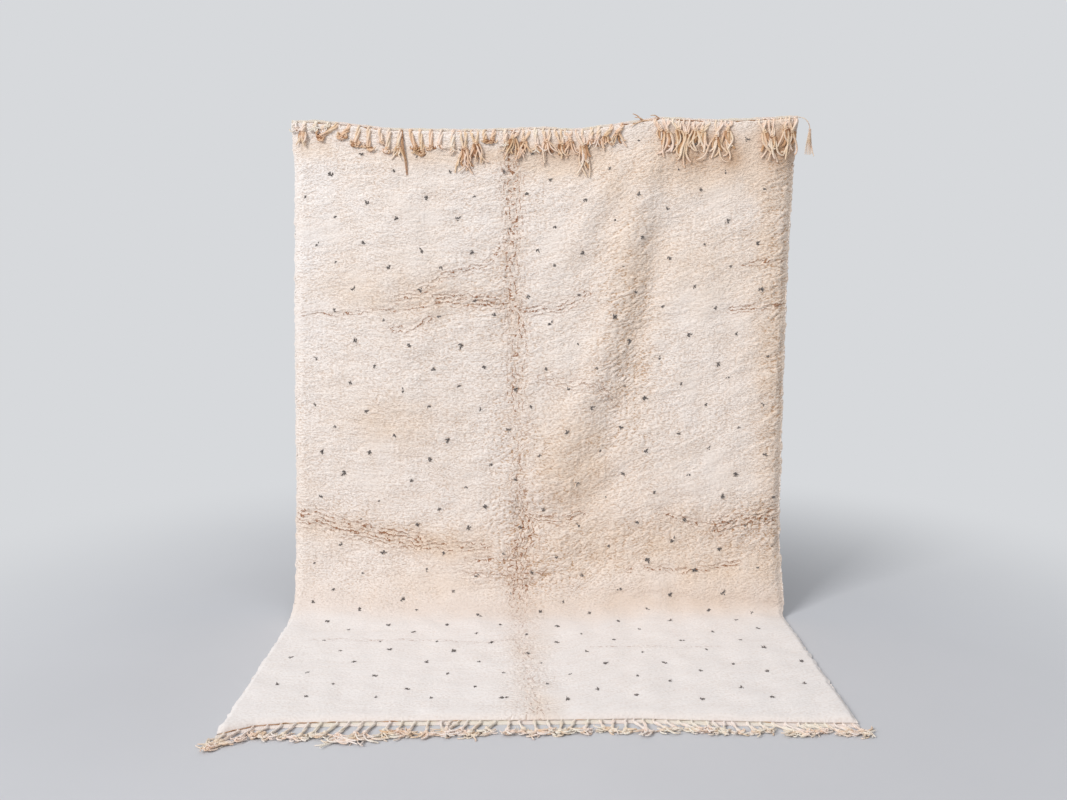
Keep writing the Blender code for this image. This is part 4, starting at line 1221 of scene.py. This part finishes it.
# the tassel that hangs by its thread from the right end
corner = np.array([right - 0.002, -0.006, 0.003])
neck = corner + (0.054, 0.050, 0.0)
thread = line_through([corner, corner + (0.030, 0.008, 0.002), corner + (0.048, 0.030, 0.001), neck], 9)
strands += wound(thread, 2, 0.0012, 2.5, 0.0026, (0.25, 0.25), chance)
strands += bound(neck, (0.1, 1, 0), 0.0040, 0.0034, 0.40, chance)
for strand in range(CORNER_YARNS):
    fan = (strand + 0.5) / CORNER_YARNS * 2 - 1
    line = line_through([
        neck + (fan * 0.003, 0.002, chance.uniform(-0.002, 0.002)),
        neck + (fan * 0.011 + 0.002, 0.045, chance.uniform(-0.004, 0.004)),
        neck + (fan * 0.021 + 0.005, 0.108 * chance.uniform(0.85, 1.0), chance.uniform(-0.006, 0.006)),
    ], 7)
    strands.append((line, 0.0042 * np.linspace(1, 0.7, 7), np.full(7, 0.28 + chance.uniform(-0.08, 0.15))))

hanging_yarns = spun("top_tassels", strands, over_pile, yarn)
top_heading = ribbed_strip("top_heading", HEADING_HIGH, HEADING_THICK, HEADING_RIBS, top_strip, yarn)

# the brown weft twined along the pile's end, seen as dashes between the roots; its dark tone is in part
# painted shade
u = np.linspace(left + 0.004, right - 0.004, TWINING_POINTS)
twined = np.stack([u, 0.0010 + 0.0012 * np.sin(u * 90), 0.0180 + 0.0010 * np.sin(u * 140)], axis=1)
shown = smooth((drift(u, u * 0, 0.026, 63) - 0.36 + 0.38 * smooth(u * 2)) / 0.3)
tones = np.clip(0.94 + 0.20 * drift(u, u * 0, 0.05, 61), 0, 1)
top_twining = spun("top_twining", [(twined, 0.0010 + 0.0042 * shown, tones)], over_pile, yarn)
for piece in (hanging_yarns, top_heading, top_twining):
    keep_on(piece, "warp_yarn", "top_fringe")

# ---------------------------------------------------------------------------------------------------
# The fringe at the front edge: a ribbed heading flat on the floor, then roots, a few of them in pairs,
# with the floor showing between them, knots, and curled ends that lie level on the floor. The tassels
# at both ends are swept outward.

FOOT_WIDE, FOOT_THICK, FOOT_RIBS = 0.022, 0.005, 5
FOOT_KNOT_UP, FOOT_KNOT_RADIUS = 0.0075, 0.0060
FOOT_ROOTS_APART, FOOT_PAIRED = 0.0140, 0.15
LEAST_UP = 0.0022  # a yarn's middle over the floor

# until across; then the lean and distance of the knot, the loose yarns' length, direction, spread,
# curl and number, and the tones of the roots and of the loose yarns
LYING = (
    (-0.97, -0.006, 0.050, 0.054, -0.60, 1.30, 4.0, 26, 0.10, 0.22),
    (-0.93, -0.012, 0.054, 0.054, -0.40, 1.20, 4.0, 22, 0.08, 0.18),
    (-0.88, -0.014, 0.060, 0.050, -0.40, 1.10, 4.4, 18, 0.04, 0.12),
    (-0.82, -0.008, 0.062, 0.040, 0.00, 1.60, 6.0, 24, 0.06, 0.30),
    (-0.62, -0.026, 0.068, 0.044, -0.40, 1.00, 4.4, 17, 0.02, 0.08),
    (-0.45, -0.010, 0.070, 0.070, 0.00, 0.60, 2.8, 15, 0.00, 0.06),
    (-0.35, -0.010, 0.064, 0.052, -0.20, 1.10, 4.6, 19, 0.04, 0.24),
    (-0.08, -0.004, 0.068, 0.052, 0.00, 0.90, 4.0, 17, 0.02, 0.10),
    (0.35, 0.004, 0.060, 0.046, 0.10, 1.10, 4.4, 17, 0.02, 0.10),
    (0.80, 0.024, 0.056, 0.042, 0.30, 1.10, 4.2, 17, 0.00, 0.06),
    (1.00, 0.030, 0.050, 0.046, 0.60, 0.90, 3.6, 19, 0.04, 0.12),
)


def on_floor(line):
    """World places of (u, v, w): u is x, v ahead of the front edge, w up from the floor."""
    u, v, w = np.asarray(line, float).T
    left, right = SIDES[-1, 1:]
    across = np.clip((u - left) / (right - left) * 2 - 1, -1, 1)
    return np.stack([u, station(across, 4) - v, FLOOR_Z + np.maximum(w, LEAST_UP)], axis=1)


def foot_strip(across, out, rise):
    """World places on the heading that lies along the front edge."""
    return (between(*SIDES[-1, 1:], across), station(across, 4) - 0.0004 - out, FLOOR_Z + rise)


chance = random.Random(34)
strands = []
left, right = SIDES[-1, 1:]
for number in range(TASSELS):
    across_at = (2 * number + 1) / TASSELS - 1 + chance.uniform(-0.004, 0.004)
    kind = next(row for row in LYING if across_at <= row[0])
    lean, knot_out, free, aim, spread, curl, count, root_tone, tone_at = kind[1:]
    u = between(left, right, across_at)
    sway = 0.012 * math.cos(17 * across_at) + chance.uniform(-0.006, 0.006)
    lean += chance.uniform(-0.012, 0.012)
    knot_out *= chance.uniform(0.95, 1.3)
    free *= chance.uniform(0.80, 1.40)
    knot = np.array([u + lean + sway, knot_out, FOOT_KNOT_UP])
    for side in (-1, 1) if chance.random() < FOOT_PAIRED else (0,):
        start = u + side * FOOT_ROOTS_APART + chance.uniform(-0.003, 0.003)
        line = line_through([(start, 0.010, 0.0066), (start + lean * 0.1, 0.024, 0.0064),
                             (start + (knot[0] - start) * 0.5 + side * 0.002, knot_out * 0.62, 0.0064),
                             (knot[0] + side * 0.003, knot_out, knot[2])], 8)
        strands += wound(line, 2, 0.0022, chance.uniform(0.5, 1.1), YARN_THICK * 0.95,
                         (root_tone, root_tone + 0.06), chance)
    strands += bound(knot, (lean, knot_out, 0), FOOT_KNOT_RADIUS, YARN_THICK * 0.85,
                     tone_at * 0.8 + 0.05, chance)
    for strand in range(count):
        fan = (strand + 0.5) / count * 2 - 1
        start = knot + np.array([fan * 0.006, 0.002, chance.uniform(-0.004, 0.003)])
        heading = aim + spread * fan + chance.uniform(-0.2, 0.2)
        length = free * chance.uniform(0.45, 1.00)
        turn = curl * chance.choice((-1, 1)) * chance.uniform(0.30, 1.00)
        sink = chance.uniform(-0.004, 0.006)
        # every third yarn is toned darker, partly as darker yarn and partly as painted shade within the bunch
        inside = strand % 3 == 1
        strands += loose(start, heading, length, turn, sink, YARN_THICK * chance.uniform(0.48, 0.78),
                         tone_at + (0.16 if inside else -0.04), chance)

lying_yarns = spun("foot_tassels", strands, on_floor, yarn)
foot_heading = ribbed_strip("foot_heading", FOOT_WIDE, FOOT_THICK, FOOT_RIBS, foot_strip, yarn)

# the weft twined along its end, which shows best near the two corners
u = np.linspace(left + 0.010, right - 0.010, TWINING_POINTS)
twined = np.stack([u, 0.0040 + 0.0010 * np.sin(u * 80), 0.0066 + 0.0010 * np.sin(u * 130)], axis=1)
at_corners = 0.80 * bell(u + 0.80, 0.20) + 0.70 * bell(u - 0.92, 0.10)
shown = smooth((drift(u, u * 0, 0.07, 62) + at_corners - 0.30) / 0.3)
tones = np.clip(0.12 + 0.70 * shown, 0, 1)
foot_twining = spun("foot_twining", [(twined, 0.0014 + 0.0014 * shown, tones)], on_floor, yarn)
for piece in (lying_yarns, foot_heading, foot_twining):
    keep_on(piece, "warp_yarn", "bottom_fringe")
